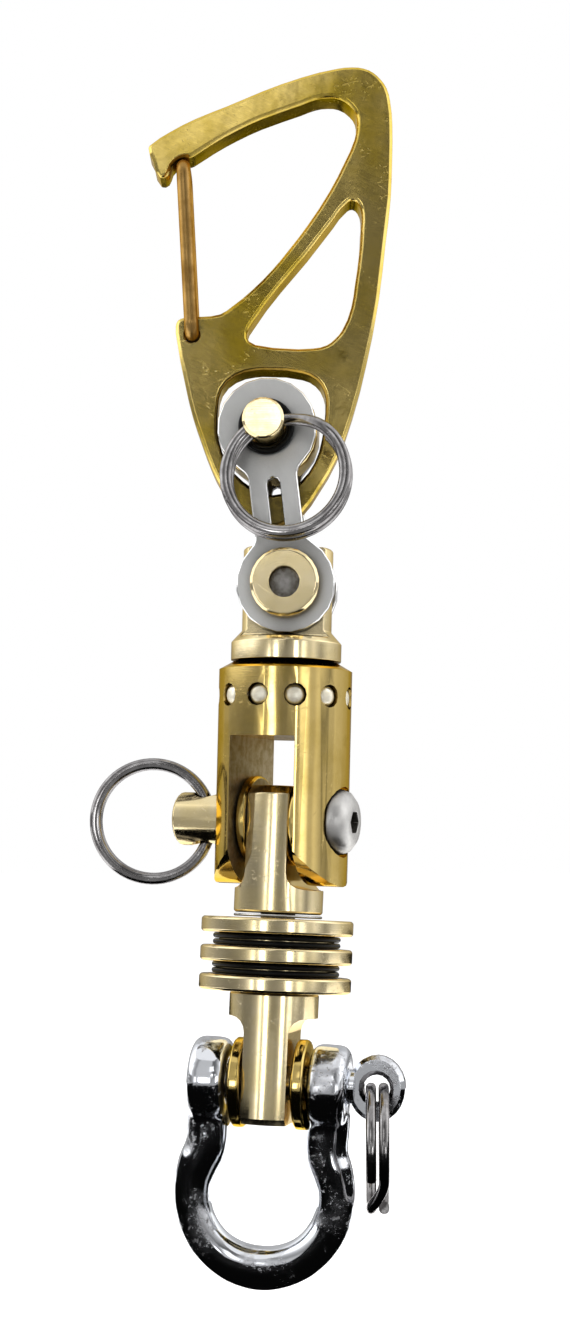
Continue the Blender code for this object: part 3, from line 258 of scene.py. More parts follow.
class Nodes:
    """Adds nodes to a material or world and links them in the order they are made."""

    def __init__(self, owner):
        self.tree = owner.node_tree

    def add(self, kind, **values):
        made = self.tree.nodes.new(kind)
        for name, value in values.items():
            if hasattr(made, name):
                setattr(made, name, value)
                continue
            socket = made.inputs[name.replace("_", " ")]
            if isinstance(value, bpy.types.NodeSocket):
                self.tree.links.new(value, socket)
            else:
                socket.default_value = value
        return made

    def place(self, stretch=(1, 1, 1), turn=(0, 0, 0)):
        """The piece's own coordinates, stretched and turned."""
        coords = self.add("ShaderNodeTexCoord").outputs["Object"]
        turned = self.add("ShaderNodeMapping", Vector=coords, Rotation=turn).outputs[0]
        return self.add("ShaderNodeMapping", Vector=turned, Scale=stretch).outputs[0]

    def noise(self, place, scale, detail=3.0, roughness=0.55):
        return self.add(
            "ShaderNodeTexNoise", Vector=place, Scale=scale, Detail=detail, Roughness=roughness
        ).outputs["Fac"]

    def span(self, value, low, high, to_low=0.0, to_high=1.0):
        """Maps a value from one span to another, smoothly and within the span."""
        made = self.add("ShaderNodeMapRange", Value=value, interpolation_type="SMOOTHSTEP")
        for name, number in zip(
            ("From Min", "From Max", "To Min", "To Max"), (low, high, to_low, to_high)
        ):
            made.inputs[name].default_value = number
        return made.outputs[0]

    def math(self, operation, first, second, third=0.5):
        made = self.add("ShaderNodeMath", operation=operation)
        for socket, value in zip(made.inputs, (first, second, third)):
            if isinstance(value, bpy.types.NodeSocket):
                self.tree.links.new(value, socket)
            else:
                socket.default_value = value
        return made.outputs[0]

    def mix(self, factor, first, second):
        """Mixes two colours, each a socket or a tuple of three numbers."""
        made = self.add("ShaderNodeMix", data_type="RGBA")
        for index, value in ((0, factor), (6, first), (7, second)):
            if isinstance(value, bpy.types.NodeSocket):
                self.tree.links.new(value, made.inputs[index])
            elif index:
                made.inputs[index].default_value = (*value, 1)
            else:
                made.inputs[index].default_value = value
        return made.outputs[2]

    def facing(self, axis, low, high):
        """1 where the surface faces along an axis of the piece, either way."""
        made = self.add("ShaderNodeVectorMath", operation="DOT_PRODUCT")
        normal = self.add("ShaderNodeTexCoord").outputs["Normal"]
        self.tree.links.new(normal, made.inputs[0])
        made.inputs[1].default_value = axis
        return self.span(self.math("ABSOLUTE", made.outputs["Value"], 0), low, high)

    def inside(self, slot):
        """1 on the two walls of a slot, whose place is a matrix and whose half width is given."""
        place, half = slot
        axis = place.to_3x3().col[0]
        across = self.add("ShaderNodeVectorMath", operation="DOT_PRODUCT")
        self.tree.links.new(self.add("ShaderNodeTexCoord").outputs["Object"], across.inputs[0])
        across.inputs[1].default_value = axis
        aside = self.math("SUBTRACT", across.outputs["Value"], place.translation.dot(axis))
        near = self.span(self.math("ABSOLUTE", aside, 0), half, half * 1.1, 1.0, 0.0)
        return self.math("MULTIPLY", near, self.facing(axis, 0.96, 0.99))

    def crevice(self, reach, low=0.25, high=0.8):
        """1 deep in a corner or a recess, 0 in the open: where the finishes paint shade."""
        made = self.add("ShaderNodeAmbientOcclusion", samples=8)
        made.inputs["Distance"].default_value = reach
        return self.span(made.outputs["AO"], low, high, 1.0, 0.0)

    def bump(self, height, depth, strength=1.0, under=None):
        made = self.add("ShaderNodeBump", Height=height, Distance=depth, Strength=strength)
        if under:
            self.tree.links.new(under, made.inputs["Normal"])
        return made.outputs[0]

    def seen(self):
        """1 where the camera or a reflection looks, 0 for the light that falls on things."""
        path = self.add("ShaderNodeLightPath")
        seen = self.math("MAXIMUM", path.outputs["Is Camera Ray"], path.outputs["Is Glossy Ray"])
        return self.math("MAXIMUM", seen, path.outputs["Is Transmission Ray"])


def new_material(name, metallic=1.0):
    material = bpy.data.materials.new(name)
    material.use_nodes = True
    shader = material.node_tree.nodes["Principled BSDF"]
    shader.inputs["Metallic"].default_value = metallic
    return material, Nodes(material), shader


def join(material, shader, color, rough, normal):
    links_made = material.node_tree.links
    links_made.new(color, shader.inputs["Base Color"])
    links_made.new(rough, shader.inputs["Roughness"])
    links_made.new(normal, shader.inputs["Normal"])
    return material


def scratches(nodes, scale, turns, amount):
    """Sparse fine lines in a few directions, as a value that is 1 in a scratch."""
    total = None
    for turn in turns:
        place = nodes.place((1, 1, 0.03), turn)
        line = nodes.span(nodes.noise(place, scale, 1.0), 0.71 - amount, 0.73 - amount)
        # Each line comes and goes along its way.
        line = nodes.math("MULTIPLY", line, nodes.span(nodes.noise(nodes.place(), 260), 0.5, 0.6))
        total = line if total is None else nodes.math("MAXIMUM", total, line)
    return total


def polished(
    name, bright, dull, rough, lay, lay_turn=(0, 0, 0), patch=140, wear=0.02, dents=0.3, grain=0.25,
    waves=0.1, stain=0.3, dirt_and_shade=0.75, reach=1.6 * MM, shut=(0.25, 0.8), milled=None
):
    """A polished metal: soft patches of two tones, fine lay lines, stray scratches, and dirt mixed
    with painted shade in its recesses.
    """
    material, nodes, shader = new_material(name)
    # The metal keeps its colour where it is seen at a slant.
    shader.inputs["Specular Tint"].default_value = (*[value / bright[0] for value in bright], 1)
    patches = nodes.span(nodes.noise(nodes.place(), patch, 6.0, 0.62), 0.35, 0.68)
    lines = nodes.noise(nodes.place(lay, lay_turn), LAY_SCALE, 2.0)
    marks = scratches(nodes, SCRATCH_SCALE, SCRATCH_TURNS, wear)
    color = nodes.mix(patches, bright, dull)
    stains = nodes.span(nodes.noise(nodes.place(), patch * 2.7, 7.0, 0.7), 0.56, 0.75)
    color = nodes.mix(nodes.math("MULTIPLY", stains, stain), color, [0.6 * v for v in dull])
    color = nodes.mix(nodes.math("MULTIPLY", marks, 0.35), color, bright)
    # Dirt and painted shade: a mottled dark tone, painted deep in corners, recesses and between parts.
    grime_and_shade = nodes.span(nodes.noise(nodes.place(), GRIME_AND_SHADE_SCALE, 5.0, 0.7), 0.3, 0.7, 0.75, 1.0)
    grime_and_shade = nodes.math("MULTIPLY", grime_and_shade, nodes.crevice(reach, *shut))
    color = nodes.mix(nodes.math("MULTIPLY", grime_and_shade, dirt_and_shade), color, GRIME_AND_SHADE_TONE)
    spread = nodes.span(lines, 0.3, 0.7, rough * 0.85, rough * 1.2)
    spread = nodes.math("ADD", spread, nodes.math("MULTIPLY", patches, rough * 0.45))
    spread = nodes.math("ADD", spread, nodes.math("MULTIPLY", marks, 0.12))
    if milled:
        # Walls cut with a mill and left rough, inside the polished piece.
        wall = nodes.inside(milled)
        cloud = nodes.span(nodes.noise(nodes.place(), 700, 5.0, 0.7), 0.35, 0.65)
        rough_tone = nodes.mix(cloud, *WALL_TONES)
        color = nodes.mix(wall, color, rough_tone)
        spread = nodes.math("ADD", spread, nodes.math("MULTIPLY", wall, 0.38))
    normal = nodes.bump(lines, 0.004 * MM, grain)
    normal = nodes.bump(marks, -0.003 * MM, 1.0, normal)
    normal = nodes.bump(nodes.noise(nodes.place(), DENT_SCALE, 2.0), 0.05 * MM, dents, normal)
    swell = nodes.noise(nodes.place((1, 1, 0.4)), WAVE_SCALE, 1.0)
    normal = nodes.bump(swell, 0.3 * MM, waves, normal)
    return join(material, shader, color, spread, normal)


def blasted(name, color, shine, axis):
    """Flat faces with a fine blasted grain, bright edges where the surface turns away, and shade
    painted dark into corners and between the plates.
    """
    material, nodes, shader = new_material(name)
    grain = nodes.noise(nodes.place(), 5200, 3.0)
    smears = nodes.span(nodes.noise(nodes.place((1, 1, 0.4), (0, 0.4, 0)), 260, 5.0), 0.35, 0.7)
    flat = nodes.facing(axis, 0.86, 0.97)
    tone = nodes.mix(smears, color, [share * 0.90 for share in color])
    tone = nodes.mix(flat, shine, tone)
    # Painted shade: the colour goes almost black in corners and in the gaps between parts.
    shade = nodes.math("MULTIPLY", nodes.crevice(8 * MM, 0.25, 0.85), 0.92)
    tone = nodes.mix(shade, tone, (0.06, 0.06, 0.06))
    rough = nodes.span(flat, 0, 1, 0.16, 0.46)
    bumped = nodes.bump(grain, 0.012 * MM, 0.7)
    return join(material, shader, tone, rough, bumped)


def chrome_plate(name):
    """Bright plate over a casting: ripples, fine pits and a few dull grey marks."""
    material, nodes, shader = new_material(name)
    pits = nodes.span(nodes.noise(nodes.place(), 1700, 4.0, 0.7), 0.56, 0.70)
    field = nodes.noise(nodes.place(), 170, 5.0, 0.65)
    pits = nodes.math("MULTIPLY", pits, nodes.span(field, 0.49, 0.58))
    frost = nodes.span(field, 0.50, 0.60)
    tone = nodes.mix(frost, (0.78, 0.80, 0.84), (0.66, 0.67, 0.70))
    tone = nodes.mix(pits, tone, (0.50, 0.50, 0.52))
    rough = nodes.math("ADD", nodes.span(pits, 0, 1, 0.09, 0.30), nodes.math("MULTIPLY", frost, 0.14))
    normal = nodes.bump(nodes.noise(nodes.place(), 330, 1.0), 0.22 * MM, 0.08)
    normal = nodes.bump(pits, -0.05 * MM, 1.0, normal)
    return join(material, shader, tone, rough, normal)


def rubber_skin(name):
    """Smooth black rubber with a little dust and a moulded skin."""
    material, nodes, shader = new_material(name, metallic=0.0)
    dust = nodes.span(nodes.noise(nodes.place(), 2400, 5.0, 0.7), 0.62, 0.8)
    tone = nodes.mix(dust, (0.003, 0.003, 0.003), (0.02, 0.02, 0.019))
    rough = nodes.span(dust, 0, 1, 0.26, 0.5)
    shader.inputs["Specular IOR Level"].default_value = 0.1
    normal = nodes.bump(nodes.noise(nodes.place(), 1800, 2.0), 0.02 * MM, 0.3)
    return join(material, shader, tone, rough, normal)


brass_olive = polished(
    "Polished brass olive", (0.80, 0.61, 0.20), (0.51, 0.36, 0.03), 0.13, (6, 6, 0.15),
    (0.2, 1.1, 0.1), patch=55, wear=0.03, grain=0.12, waves=0.3, stain=1.0,
    dirt_and_shade=0.88, reach=6 * MM, shut=(0.35, 0.85),
)
brass_gold = polished(
    "Polished brass gold", (0.72, 0.54, 0.20), (0.58, 0.42, 0.12), 0.09, TURNED_LAY,
    (0, 0.024, 0), patch=110, wear=0.01, dents=0.08, waves=0.45, dirt_and_shade=0.6,
    milled=(fork, SLOT_HALF),
)
brass_pale = polished(
    "Polished brass pale", (0.86, 0.73, 0.46), (0.80, 0.66, 0.36), 0.11, TURNED_LAY,
    patch=160, wear=0.015, dents=0.15, waves=0.25,
)
bronze = polished(
    "Bronze wire", (0.46, 0.28, 0.09), (0.27, 0.15, 0.04), 0.30, (7, 7, 0.12),
    patch=240, wear=0.02,
)
satin_steel = polished(
    "Satin steel", (0.66, 0.65, 0.63), (0.54, 0.53, 0.52), 0.36, (3, 3, 3), patch=300,
    dirt_and_shade=0.95, reach=2.6 * MM, shut=(0.6, 1.0),
)
bright_steel = polished(
    "Bright steel", (0.97, 0.93, 0.80), (0.84, 0.78, 0.62), 0.34, (2, 2, 2), patch=700,
    dents=1.0, dirt_and_shade=0.35,
)
ring_steel = polished(
    "Ring steel", (0.38, 0.37, 0.37), (0.22, 0.21, 0.21), 0.12, (2, 2, 2), patch=420,
    wear=0.03, dents=0.6,
)
plate_steel = blasted("Blasted steel", (0.63, 0.63, 0.62), (0.88, 0.88, 0.88), (0.07, 1, 0))
chrome = chrome_plate("Chrome")
rubber = rubber_skin("Black rubber")

FINISHES = {
    "polished_brass_olive": brass_olive,
    "polished_brass_gold": brass_gold,
    "polished_brass_pale": brass_pale,
    "bronze_wire": bronze,
    "blasted_steel": plate_steel,
    "satin_steel": satin_steel,
    "bright_steel": bright_steel,
    "ring_steel": ring_steel,
    "chrome": chrome,
    "black_rubber": rubber,
}


# Pieces


def link(obj):
    """Puts the object into the scene, once."""
    if obj.name not in bpy.context.scene.collection.objects:
        bpy.context.scene.collection.objects.link(obj)


def dress_nodes():
    """Gives each CAD node its finish, and rounds its edges so that they catch the light."""
    slots = {row["node"]: row["material_slot"] for row in frame["record"]["subparts"]}
    for name, node in frame["nodes"].items():
        node.data.materials.clear()
        node.data.materials.append(FINISHES[slots[name]])
        node.data.shade_smooth()
        weld = node.modifiers.new("Weld", "WELD")
        weld.merge_threshold = WELD_REACH
        flat = node.modifiers.new("Flat faces", "DECIMATE")
        flat.decimate_type = "DISSOLVE"
        flat.angle_limit = FLAT_ANGLE
        bevel = node.modifiers.new("Edges", "BEVEL")
        bevel.width = BEVEL_WIDTH
        bevel.segments = 2
        bevel.limit_method = "ANGLE"
        bevel.angle_limit = BEVEL_ANGLE
        even = node.modifiers.new("Even shading", "WEIGHTED_NORMAL")
        even.mode = "FACE_AREA"
        even.weight = 50


def add_piece(obj, body, slot, node, place):
    """Puts a finer piece in place of a CAD node, on its body and with its finish."""
    link(obj)
    obj.matrix_world = place
    obj.data.materials.clear()
    obj.data.materials.append(FINISHES[slot])
    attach(obj, body)
    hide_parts(node)


def mesh_of(obj):
    """The object's evaluated shape as a plain mesh object of the same name."""
    link(obj)
    bpy.context.view_layer.update()
    graph = bpy.context.evaluated_depsgraph_get()
    mesh = bpy.data.meshes.new_from_object(obj.evaluated_get(graph))
    name = obj.name
    place = obj.matrix_world.copy()
    bpy.data.objects.remove(obj)
    made = bpy.data.objects.new(name, mesh)
    made.matrix_world = place
    return made


def from_profile(name, profile, steps):
    """Turns a closed profile of (radius, height) points about Z."""
    count = len(profile)
    edges = [(index, (index + 1) % count) for index in range(count)]
    mesh = bpy.data.meshes.new(name)
    mesh.from_pydata([(radius, 0, height) for radius, height in profile], edges, [])
    obj = bpy.data.objects.new(name, mesh)
    screw = obj.modifiers.new("Turn", "SCREW")
    screw.steps = steps
    screw.render_steps = steps
    screw.use_merge_vertices = True
    screw.merge_threshold = 0.000001
    screw.use_smooth_shade = True
    return mesh_of(obj)


def arc(center, radius, start, end, steps):
    points = []
    for step in range(steps + 1):
        angle = start + (end - start) * step / steps
        points.append((center[0] + radius * math.cos(angle), center[1] + radius * math.sin(angle)))
    return points


def round_curve(name, radius, resolution):
    """A curve with a round section and capped ends, still without a spline."""
    data = bpy.data.curves.new(name, "CURVE")
    data.dimensions = "3D"
    data.bevel_depth = radius
    data.bevel_resolution = resolution
    data.use_fill_caps = True
    return data


def tube(name, points, radius):
    data = round_curve(name, radius, 6)
    spline = data.splines.new("POLY")
    spline.points.add(len(points) - 1)
    for point, place in zip(spline.points, points):
        point.co = (*place, 1)
    spline.use_smooth = True
    made = mesh_of(bpy.data.objects.new(name, data))
    weld_mesh(made.data)
    return made


def weld_mesh(mesh):
    shape = bmesh.new()
    shape.from_mesh(mesh)
    bmesh.ops.remove_doubles(shape, verts=shape.verts, dist=WELD_REACH)
    bmesh.ops.recalc_face_normals(shape, faces=shape.faces)
    shape.to_mesh(mesh)
    shape.free()


def o_ring(name, bore, radius, place, body):
    section = arc((bore + radius, 0), radius, 0, math.radians(-360), O_RING_SIDES)[:-1]
    ring = from_profile(name + "_fine", section, O_RING_STEPS)
    add_piece(ring, body, "black_rubber", name, place)


def o_rings():
    o_ring(
        "knob_o_ring", KNOB_RING_BORE, KNOB_RING_RADIUS,
        frame_at(links, (0, -KNOB_RING_AT, 0), TO_FRONT), "links",
    )
    for index in range(STACK_O_RINGS):
        gap, turn = divmod(index, O_RINGS_PER_GAP)
        drop = gap * DISC_PITCH + DISC_THICK + O_RING_PLAY + O_RING_RADIUS
        drop += turn * (2 * O_RING_RADIUS + O_RING_PLAY)
        o_ring(
            f"stack_o_ring_{index + 1}", BOSS_RADIUS + O_RING_PLAY, O_RING_RADIUS,
            frame_at(lower, (0, 0, -drop)), "lower_stack",
        )


def swivel_balls():
    for index in range(BALL_COUNT):
        turn = FIRST_BALL_TURN + 2 * math.pi * index / BALL_COUNT - math.radians(90)
        mesh = bpy.data.meshes.new("ball")
        shape = bmesh.new()
        bmesh.ops.create_icosphere(shape, subdivisions=4, radius=BALL_RADIUS)
        # Hammered in: small flats and dents, which catch the light.
        for vertex in shape.verts:
            own = Vector((index * BALL_DENT_STEP, 0, 0))
            dent = max(noise.noise(vertex.co * BALL_DENT_SCALE + own), 0)
            vertex.co *= 1 - BALL_DENT * dent
            # Each ball is set flush: its outer side is flattened.
            out = vertex.co.x / BALL_RADIUS
            if out > 0:
                vertex.co.x = BALL_REACH * min(out, 1) ** BALL_FLATNESS * (1 - BALL_FACE_DENT * dent)
        shape.to_mesh(mesh)
        shape.free()
        mesh.shade_smooth()
        name = f"swivel_ball_{index + 1:02d}"
        at = (BALL_CIRCLE * math.cos(turn), BALL_CIRCLE * math.sin(turn), -BALL_DROP)
        ball = bpy.data.objects.new(name + "_fine", mesh)
        add_piece(ball, "fork", "bright_steel", name, frame_at(fork, at, (0, 0, turn)))


def ring_mesh():
    """Two turns of flattened wire whose ends and crossing show as they do on a split ring."""
    lift = (RING_WIRE_THICK + RING_TURN_GAP) / 2
    turn = 2 * math.pi - RING_CROSSING
    total = 2 * turn + RING_CROSSING
    rows = []
    for index in range(RING_POINTS + 1):
        angle = total * index / RING_POINTS
        share = min(max((angle - turn) / RING_CROSSING, 0), 1)
        height = lift * (2 * share * share * (3 - 2 * share) - 1)
        rows.append((angle, height))
    shape = bmesh.new()
    loops = []
    for angle, height in rows:
        out = Vector((math.cos(angle), -math.sin(angle), 0))
        middle = out * RING_MID_RADIUS + Vector((0, 0, height))
        loop = []
        for side in range(RING_SIDES):
            around = 2 * math.pi * side / RING_SIDES
            # A flattened round: fuller than an ellipse.
            across = math.copysign(abs(math.cos(around)) ** RING_FULLNESS, math.cos(around))
            along = math.copysign(abs(math.sin(around)) ** RING_FULLNESS, math.sin(around))
            offset = out * across * RING_WIRE_WIDTH / 2
            offset += Vector(UP) * along * RING_WIRE_THICK / 2
            loop.append(shape.verts.new(middle + offset))
        loops.append(loop)
    for first, second in zip(loops, loops[1:]):
        for side in range(RING_SIDES):
            after = (side + 1) % RING_SIDES
            shape.faces.new((first[side], first[after], second[after], second[side]))
    for loop in (loops[0], loops[-1]):
        shape.faces.new(loop)
    bmesh.ops.recalc_face_normals(shape, faces=shape.faces)
    caps = {vertex for loop in (loops[0], loops[-1]) for vertex in loop}
    ends = [edge for edge in shape.edges if set(edge.verts) <= caps]
    bmesh.ops.bevel(shape, geom=ends, offset=RING_END_BEVEL, segments=2, affect="EDGES")
    mesh = bpy.data.meshes.new("split_ring")
    shape.to_mesh(mesh)
    shape.free()
    mesh.shade_smooth()
    mesh.set_sharp_from_angle(angle=math.radians(50))
    return mesh


def split_rings():
    top = frame_at(links, (0, -TOP_RING_AT, 0), (TOP_RING_TILT, TOP_RING_TURN, 0))
    top = frame_at(
        top, (0, 0, -RING_MID_RADIUS - TOP_RING_SAG), (TO_FRONT[0], TOP_RING_END, 0)
    )
    side = frame_at(fork, (-SIDE_RING_AT, 0, -PIN_DROP), (0, 0, SIDE_RING_TURN))
    side = frame_at(
        side, (SIDE_RING_SHIFT - RING_MID_RADIUS, 0, -SIDE_RING_DROP),
        (TO_FRONT[0], SIDE_RING_END, 0),
    )
    low = frame_at(shackle_pin, (PIN_EYE_AT, 0, 0), (0, SHACKLE_RING_LEAN, SHACKLE_RING_TURN))
    low = frame_at(
        low, (0, 0, -RING_MID_RADIUS - SHACKLE_RING_SAG),
        (FACE_ALONG_X[0], SHACKLE_RING_END, FACE_ALONG_X[2]),
    )
    for name, body, place in (
        ("top_split_ring", "top_ring", top),
        ("side_split_ring", "side_ring", side),
        ("shackle_split_ring", "shackle_ring", low),
    ):
        ring = bpy.data.objects.new(name + "_fine", ring_mesh())
        add_piece(ring, body, "ring_steel", name, place)


def gate():
    side = GATE_SIDE
    rise = GATE_RISE
    corners = [(0, -GATE_FEET_GAP / 2, 0), (0, -side, 0), (rise[0], -side, rise[1])]
    corners += [(rise[0], side, rise[1]), (0, side, 0), (0, GATE_FEET_GAP / 2, 0)]
    path = [Vector(corners[0])]
    for before, corner, after in zip(corners, corners[1:], corners[2:]):
        corner = Vector(corner)
        back = (Vector(before) - corner).normalized()
        ahead = (Vector(after) - corner).normalized()
        half = back.angle(ahead) / 2
        middle = corner + (back + ahead).normalized() * GATE_BEND / math.sin(half)
        start = corner + back * GATE_BEND / math.tan(half) - middle
        end = corner + ahead * GATE_BEND / math.tan(half) - middle
        for step in range(GATE_BEND_STEPS + 1):
            path.append(middle + start.slerp(end, step / GATE_BEND_STEPS) * GATE_BEND)
    path.append(Vector(corners[-1]))
    wire = tube("gate_wire_fine", path, GATE_WIRE_RADIUS)
    add_piece(wire, "gate", "bronze_wire", "gate_wire", Matrix.Translation(GATE_AXIS))


def bow_path():
    """From inside one ear, below its hole, down and round to the other."""
    curve = arc((0, -BOW_DROP), BOW_RADIUS, -BOW_START_TURN, -math.radians(90), BOW_STEPS // 2)
    half = [(EAR_FOOT_AT, -LIMB_START_DROP), (EAR_FOOT_AT, -EAR_FOOT_DROP)]
    half += [(THROAT_AT, -THROAT_DROP)] + curve
    whole = half + [(-across, up) for across, up in reversed(half[:-1])]
    return [(across, 0, up) for across, up in whole]


def limb_tube():
    shares = LIMB_SHARES + LIMB_SHARES[-2::-1]
    data = round_curve("limb", LIMB_RADIUS, 14)
    data.resolution_u = 8
    points = bow_path()
    spline = data.splines.new("BEZIER")
    spline.bezier_points.add(len(points) - 1)
    for point, place, share in zip(spline.bezier_points, points, shares):
        point.co = place
        point.radius = share
        point.handle_left_type = "AUTO"
        point.handle_right_type = "AUTO"
    limb = mesh_of(bpy.data.objects.new("limb", data))
    weld_mesh(limb.data)
    return limb.data


def ear_ring():
    """An ear: a rounded disc about Z with a hole through it."""
    half = (EAR_OUTER - EAR_INNER) / 2
    inner = EAR_RADIUS - EAR_ROUNDING
    profile = [(EAR_HOLE_RADIUS, -half), (EAR_HOLE_RADIUS, half)]
    profile += arc((inner, half - EAR_ROUNDING), EAR_ROUNDING, math.radians(90), 0, 8)
    profile += arc((inner, EAR_ROUNDING - half), EAR_ROUNDING, 0, math.radians(-90), 8)
    ear = from_profile("ear", profile, 128)
    weld_mesh(ear.data)
    return ear.data


def shackle_bow():
    """A casting: the limb and the ears flow into each other, under a lightly uneven skin."""
    shape = bmesh.new()
    shape.from_mesh(limb_tube())
    for sign in (1, -1):
        ear = ear_ring()
        middle = sign * (EAR_INNER + EAR_OUTER) / 2
        ear.transform(frame_at(Matrix.Identity(4), (middle, 0, 0), TO_RIGHT))
        shape.from_mesh(ear)
    mesh = bpy.data.meshes.new("shackle_bow")
    shape.to_mesh(mesh)
    shape.free()
    bow = bpy.data.objects.new("shackle_bow_fine", mesh)
    remesh = bow.modifiers.new("Cast skin", "REMESH")
    remesh.mode = "VOXEL"
    remesh.voxel_size = BOW_VOXEL
    remesh.use_smooth_shade = True
    ease = bow.modifiers.new("Ease", "SMOOTH")
    ease.factor = 0.5
    ease.iterations = BOW_EASE_STEPS
    bow = mesh_of(bow)
    for vertex in bow.data.vertices:
        low = min(max((-vertex.co.z - EAR_FOOT_DROP) / EAR_FOOT_DROP, 0), 1)
        vertex.co += vertex.normal * noise.noise(vertex.co * CAST_SCALE) * CAST_DEPTH * low
    bow.data.shade_smooth()
    add_piece(bow, "shackle", "chrome", "shackle_bow", shackle)
    finer = bow.modifiers.new("Finer", "SUBSURF")
    finer.levels = 1
    finer.render_levels = 1


# Studio


def stage_material(name, strength):
    """An even white glow, for a panel that only shows in reflections."""
    material = bpy.data.materials.new(name)
    material.use_nodes = True
    tree = material.node_tree
    tree.nodes.clear()
    glow = tree.nodes.new("ShaderNodeEmission")
    glow.inputs["Color"].default_value = (1, 1, 1, 1)
    glow.inputs["Strength"].default_value = strength
    end = tree.nodes.new("ShaderNodeOutputMaterial")
    tree.links.new(glow.outputs[0], end.inputs["Surface"])
    return material


def unseen(obj):
    """Leaves a stage piece to reflections alone."""
    link(obj)
    obj.visible_camera = False
    obj.visible_diffuse = False
    obj.visible_shadow = False


def round_card(name, reach, heights, stops, span=180, hole=0):
    """An upright card bent round the object; its brightness changes with the azimuth.

    It reaches to the span on both sides, and can leave a hole in front.
    """
    points = []
    for step in range(CARD_STEPS + 1):
        azimuth = math.radians(span * (2 * step / CARD_STEPS - 1))
        for height in heights:
            points.append((reach * math.sin(azimuth), -reach * math.cos(azimuth), height))
    faces = [
        (2 * step, 2 * step + 1, 2 * step + 3, 2 * step + 2)
        for step in range(CARD_STEPS)
        if abs(span * (2 * (step + 0.5) / CARD_STEPS - 1)) > hole
    ]
    mesh = bpy.data.meshes.new(name)
    mesh.from_pydata(points, [], faces)
    top = max(strength for _, strength in stops)
    material = stage_material(name, top)
    nodes = Nodes(material)
    place = nodes.add("ShaderNodeSeparateXYZ")
    nodes.tree.links.new(nodes.add("ShaderNodeTexCoord").outputs["Object"], place.inputs[0])
    ahead = nodes.math("MULTIPLY", place.outputs["Y"], -1)
    azimuth = nodes.math("ARCTAN2", place.outputs["X"], ahead)
    share = nodes.math("MULTIPLY_ADD", azimuth, 0.5 / math.pi)
    ramp = nodes.add("ShaderNodeValToRGB")
    nodes.tree.links.new(share, ramp.inputs[0])
    marks = ramp.color_ramp.elements
    marks[1].position = 1
    for at, strength in stops:
        spot = (at + 180) / 360
        mark = marks[0] if spot == 0 else marks[-1] if spot == 1 else marks.new(spot)
        mark.color = (*[strength / top] * 3, 1)
    glow = next(node for node in nodes.tree.nodes if node.type == "EMISSION")
    nodes.tree.links.new(ramp.outputs[0], glow.inputs["Color"])
    mesh.materials.append(material)
    obj = bpy.data.objects.new(name, mesh)
    obj.location = (CAMERA_AT[0], 0, 0)
    unseen(obj)


def four_sided(name, corners, material):
    mesh = bpy.data.meshes.new(name)
    mesh.from_pydata(corners, [], [(0, 1, 2, 3)])
    mesh.materials.append(material)
    return bpy.data.objects.new(name, mesh)


def upright_card(name, across, heights, strength, ahead=0.85):
    """A card that stands in front of the object, seen only by reflections."""
    left, right = across
    low, high = heights
    corners = [(left, low), (right, low), (right, high), (left, high)]
    corners = [(x, -ahead, z) for x, z in corners]
    unseen(four_sided(name, corners, stage_material(name, strength)))


def flat_card(name, across, depths, strength):
    """A card that lies on the floor, seen only by reflections."""
    left, right = across
    front, back = depths
    height = cad_box[0].z - FLOOR_DROP + 1 * MM
    corners = [(left, front), (right, front), (right, back), (left, back)]
    corners = [(x, y, height) for x, y in corners]
    unseen(four_sided(name, corners, stage_material(name, strength)))


def area_light(name, at, size, power):
    data = bpy.data.lights.new(name, "AREA")
    data.shape = "RECTANGLE"
    data.size, data.size_y = size
    data.energy = power
    light = bpy.data.objects.new(name, data)
    light.location = at
    light.rotation_euler = (Vector(LIGHT_AIM) - Vector(at)).to_track_quat("-Z", "Y").to_euler()
    link(light)
    light.visible_glossy = False


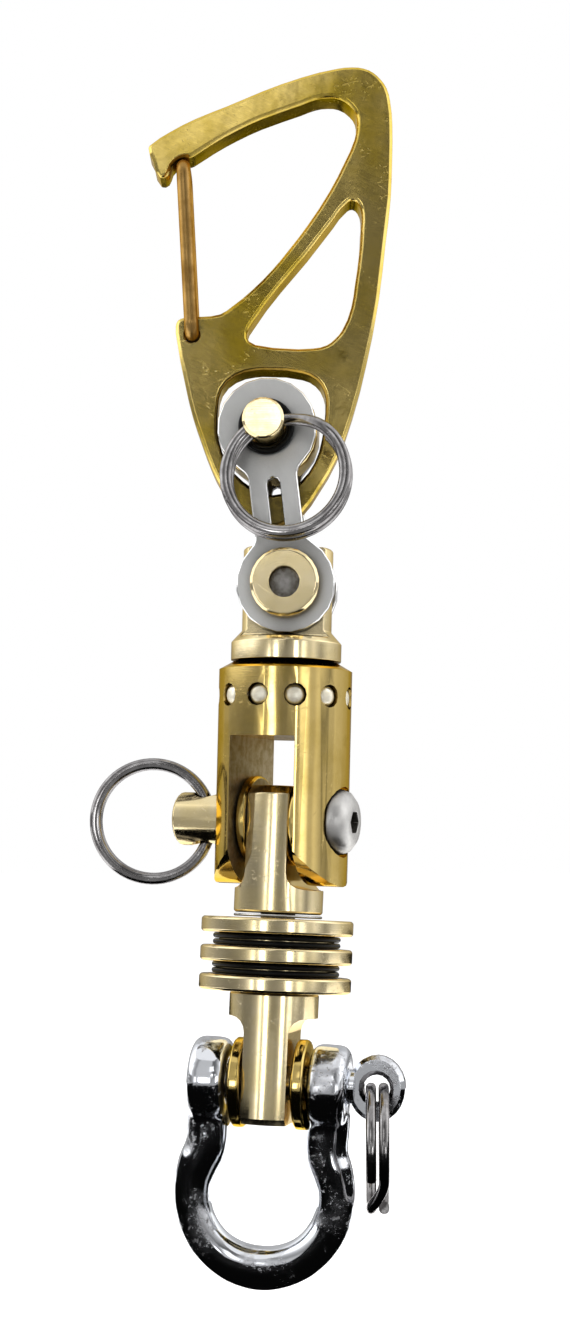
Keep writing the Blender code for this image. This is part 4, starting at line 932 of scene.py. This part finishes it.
def floor():
    material, nodes, shader = new_material("Pale floor", metallic=0.0)
    shader.inputs["Base Color"].default_value = (FLOOR_TONE, FLOOR_TONE, FLOOR_TONE, 1)
    shader.inputs["Roughness"].default_value = 0.9
    shader.inputs["Specular IOR Level"].default_value = 0.0
    # The camera and reflections see it as pale as the backdrop, less the object's shadow.
    glow = nodes.math("MULTIPLY", nodes.seen(), FLOOR_GLOW)
    nodes.tree.links.new(glow, shader.inputs["Emission Strength"])
    shader.inputs["Emission Color"].default_value = (1, 1, 1, 1)
    half = FLOOR_SIZE / 2
    height = cad_box[0].z - FLOOR_DROP
    corners = [(x, y, height) for x, y in ((-half, -half), (half, -half), (half, half), (-half, half))]
    obj = four_sided("floor", corners, material)
    link(obj)


def backdrop():
    world = bpy.data.worlds.new("Studio")
    bpy.context.scene.world = world
    world.use_nodes = True
    nodes = Nodes(world)
    shade = nodes.tree.nodes["Background"]
    shade.inputs["Color"].default_value = (1, 1, 1, 1)
    strength = nodes.span(nodes.seen(), 0, 1, WORLD_LIGHT, 1.0)
    nodes.tree.links.new(strength, shade.inputs["Strength"])


def studio():
    backdrop()
    floor()
    ground = cad_box[0].z - FLOOR_DROP
    round_card("room_low", ROOM_REACH, (ground, ROOM_SPLIT), ROOM_LOW)
    round_card("room_high", ROOM_REACH, (ROOM_SPLIT, ROOM_TOP), ROOM_HIGH)
    for card in UPRIGHT_CARDS:
        upright_card(*card)
    # Close to the shackle: dark cards for its polished limbs, and a grey one for its pin's eye
    dark = ((-180, DARK), (180, DARK))
    round_card("near_dark", 0.06, (ground, -150.5 * MM), dark, span=50)
    round_card("side_dark", 0.058, (ground, -145 * MM), dark, span=118, hole=48)
    upright_card("eye_shade", (-0.0205, -0.004), (-150.5 * MM, -134 * MM), 0.42, ahead=0.056)
    for card in FLOOR_CARDS:
        flat_card(*card)
    for light in LIGHTS:
        area_light(*light)


def camera():
    data = bpy.data.cameras.new("camera")
    data.sensor_fit = "VERTICAL"
    data.angle_y = 2 * math.atan(IMAGE_HEIGHT / 2 / CAMERA_REACH)
    data.shift_y = CAMERA_SHIFT / IMAGE_HEIGHT
    obj = bpy.data.objects.new("camera", data)
    obj.location = CAMERA_AT
    obj.rotation_euler = TO_FRONT
    link(obj)
    bpy.context.scene.camera = obj


bpy.context.scene.view_settings.view_transform = "Standard"
camera()
dress_nodes()
o_rings()
swivel_balls()
split_rings()
gate()
shackle_bow()
studio()
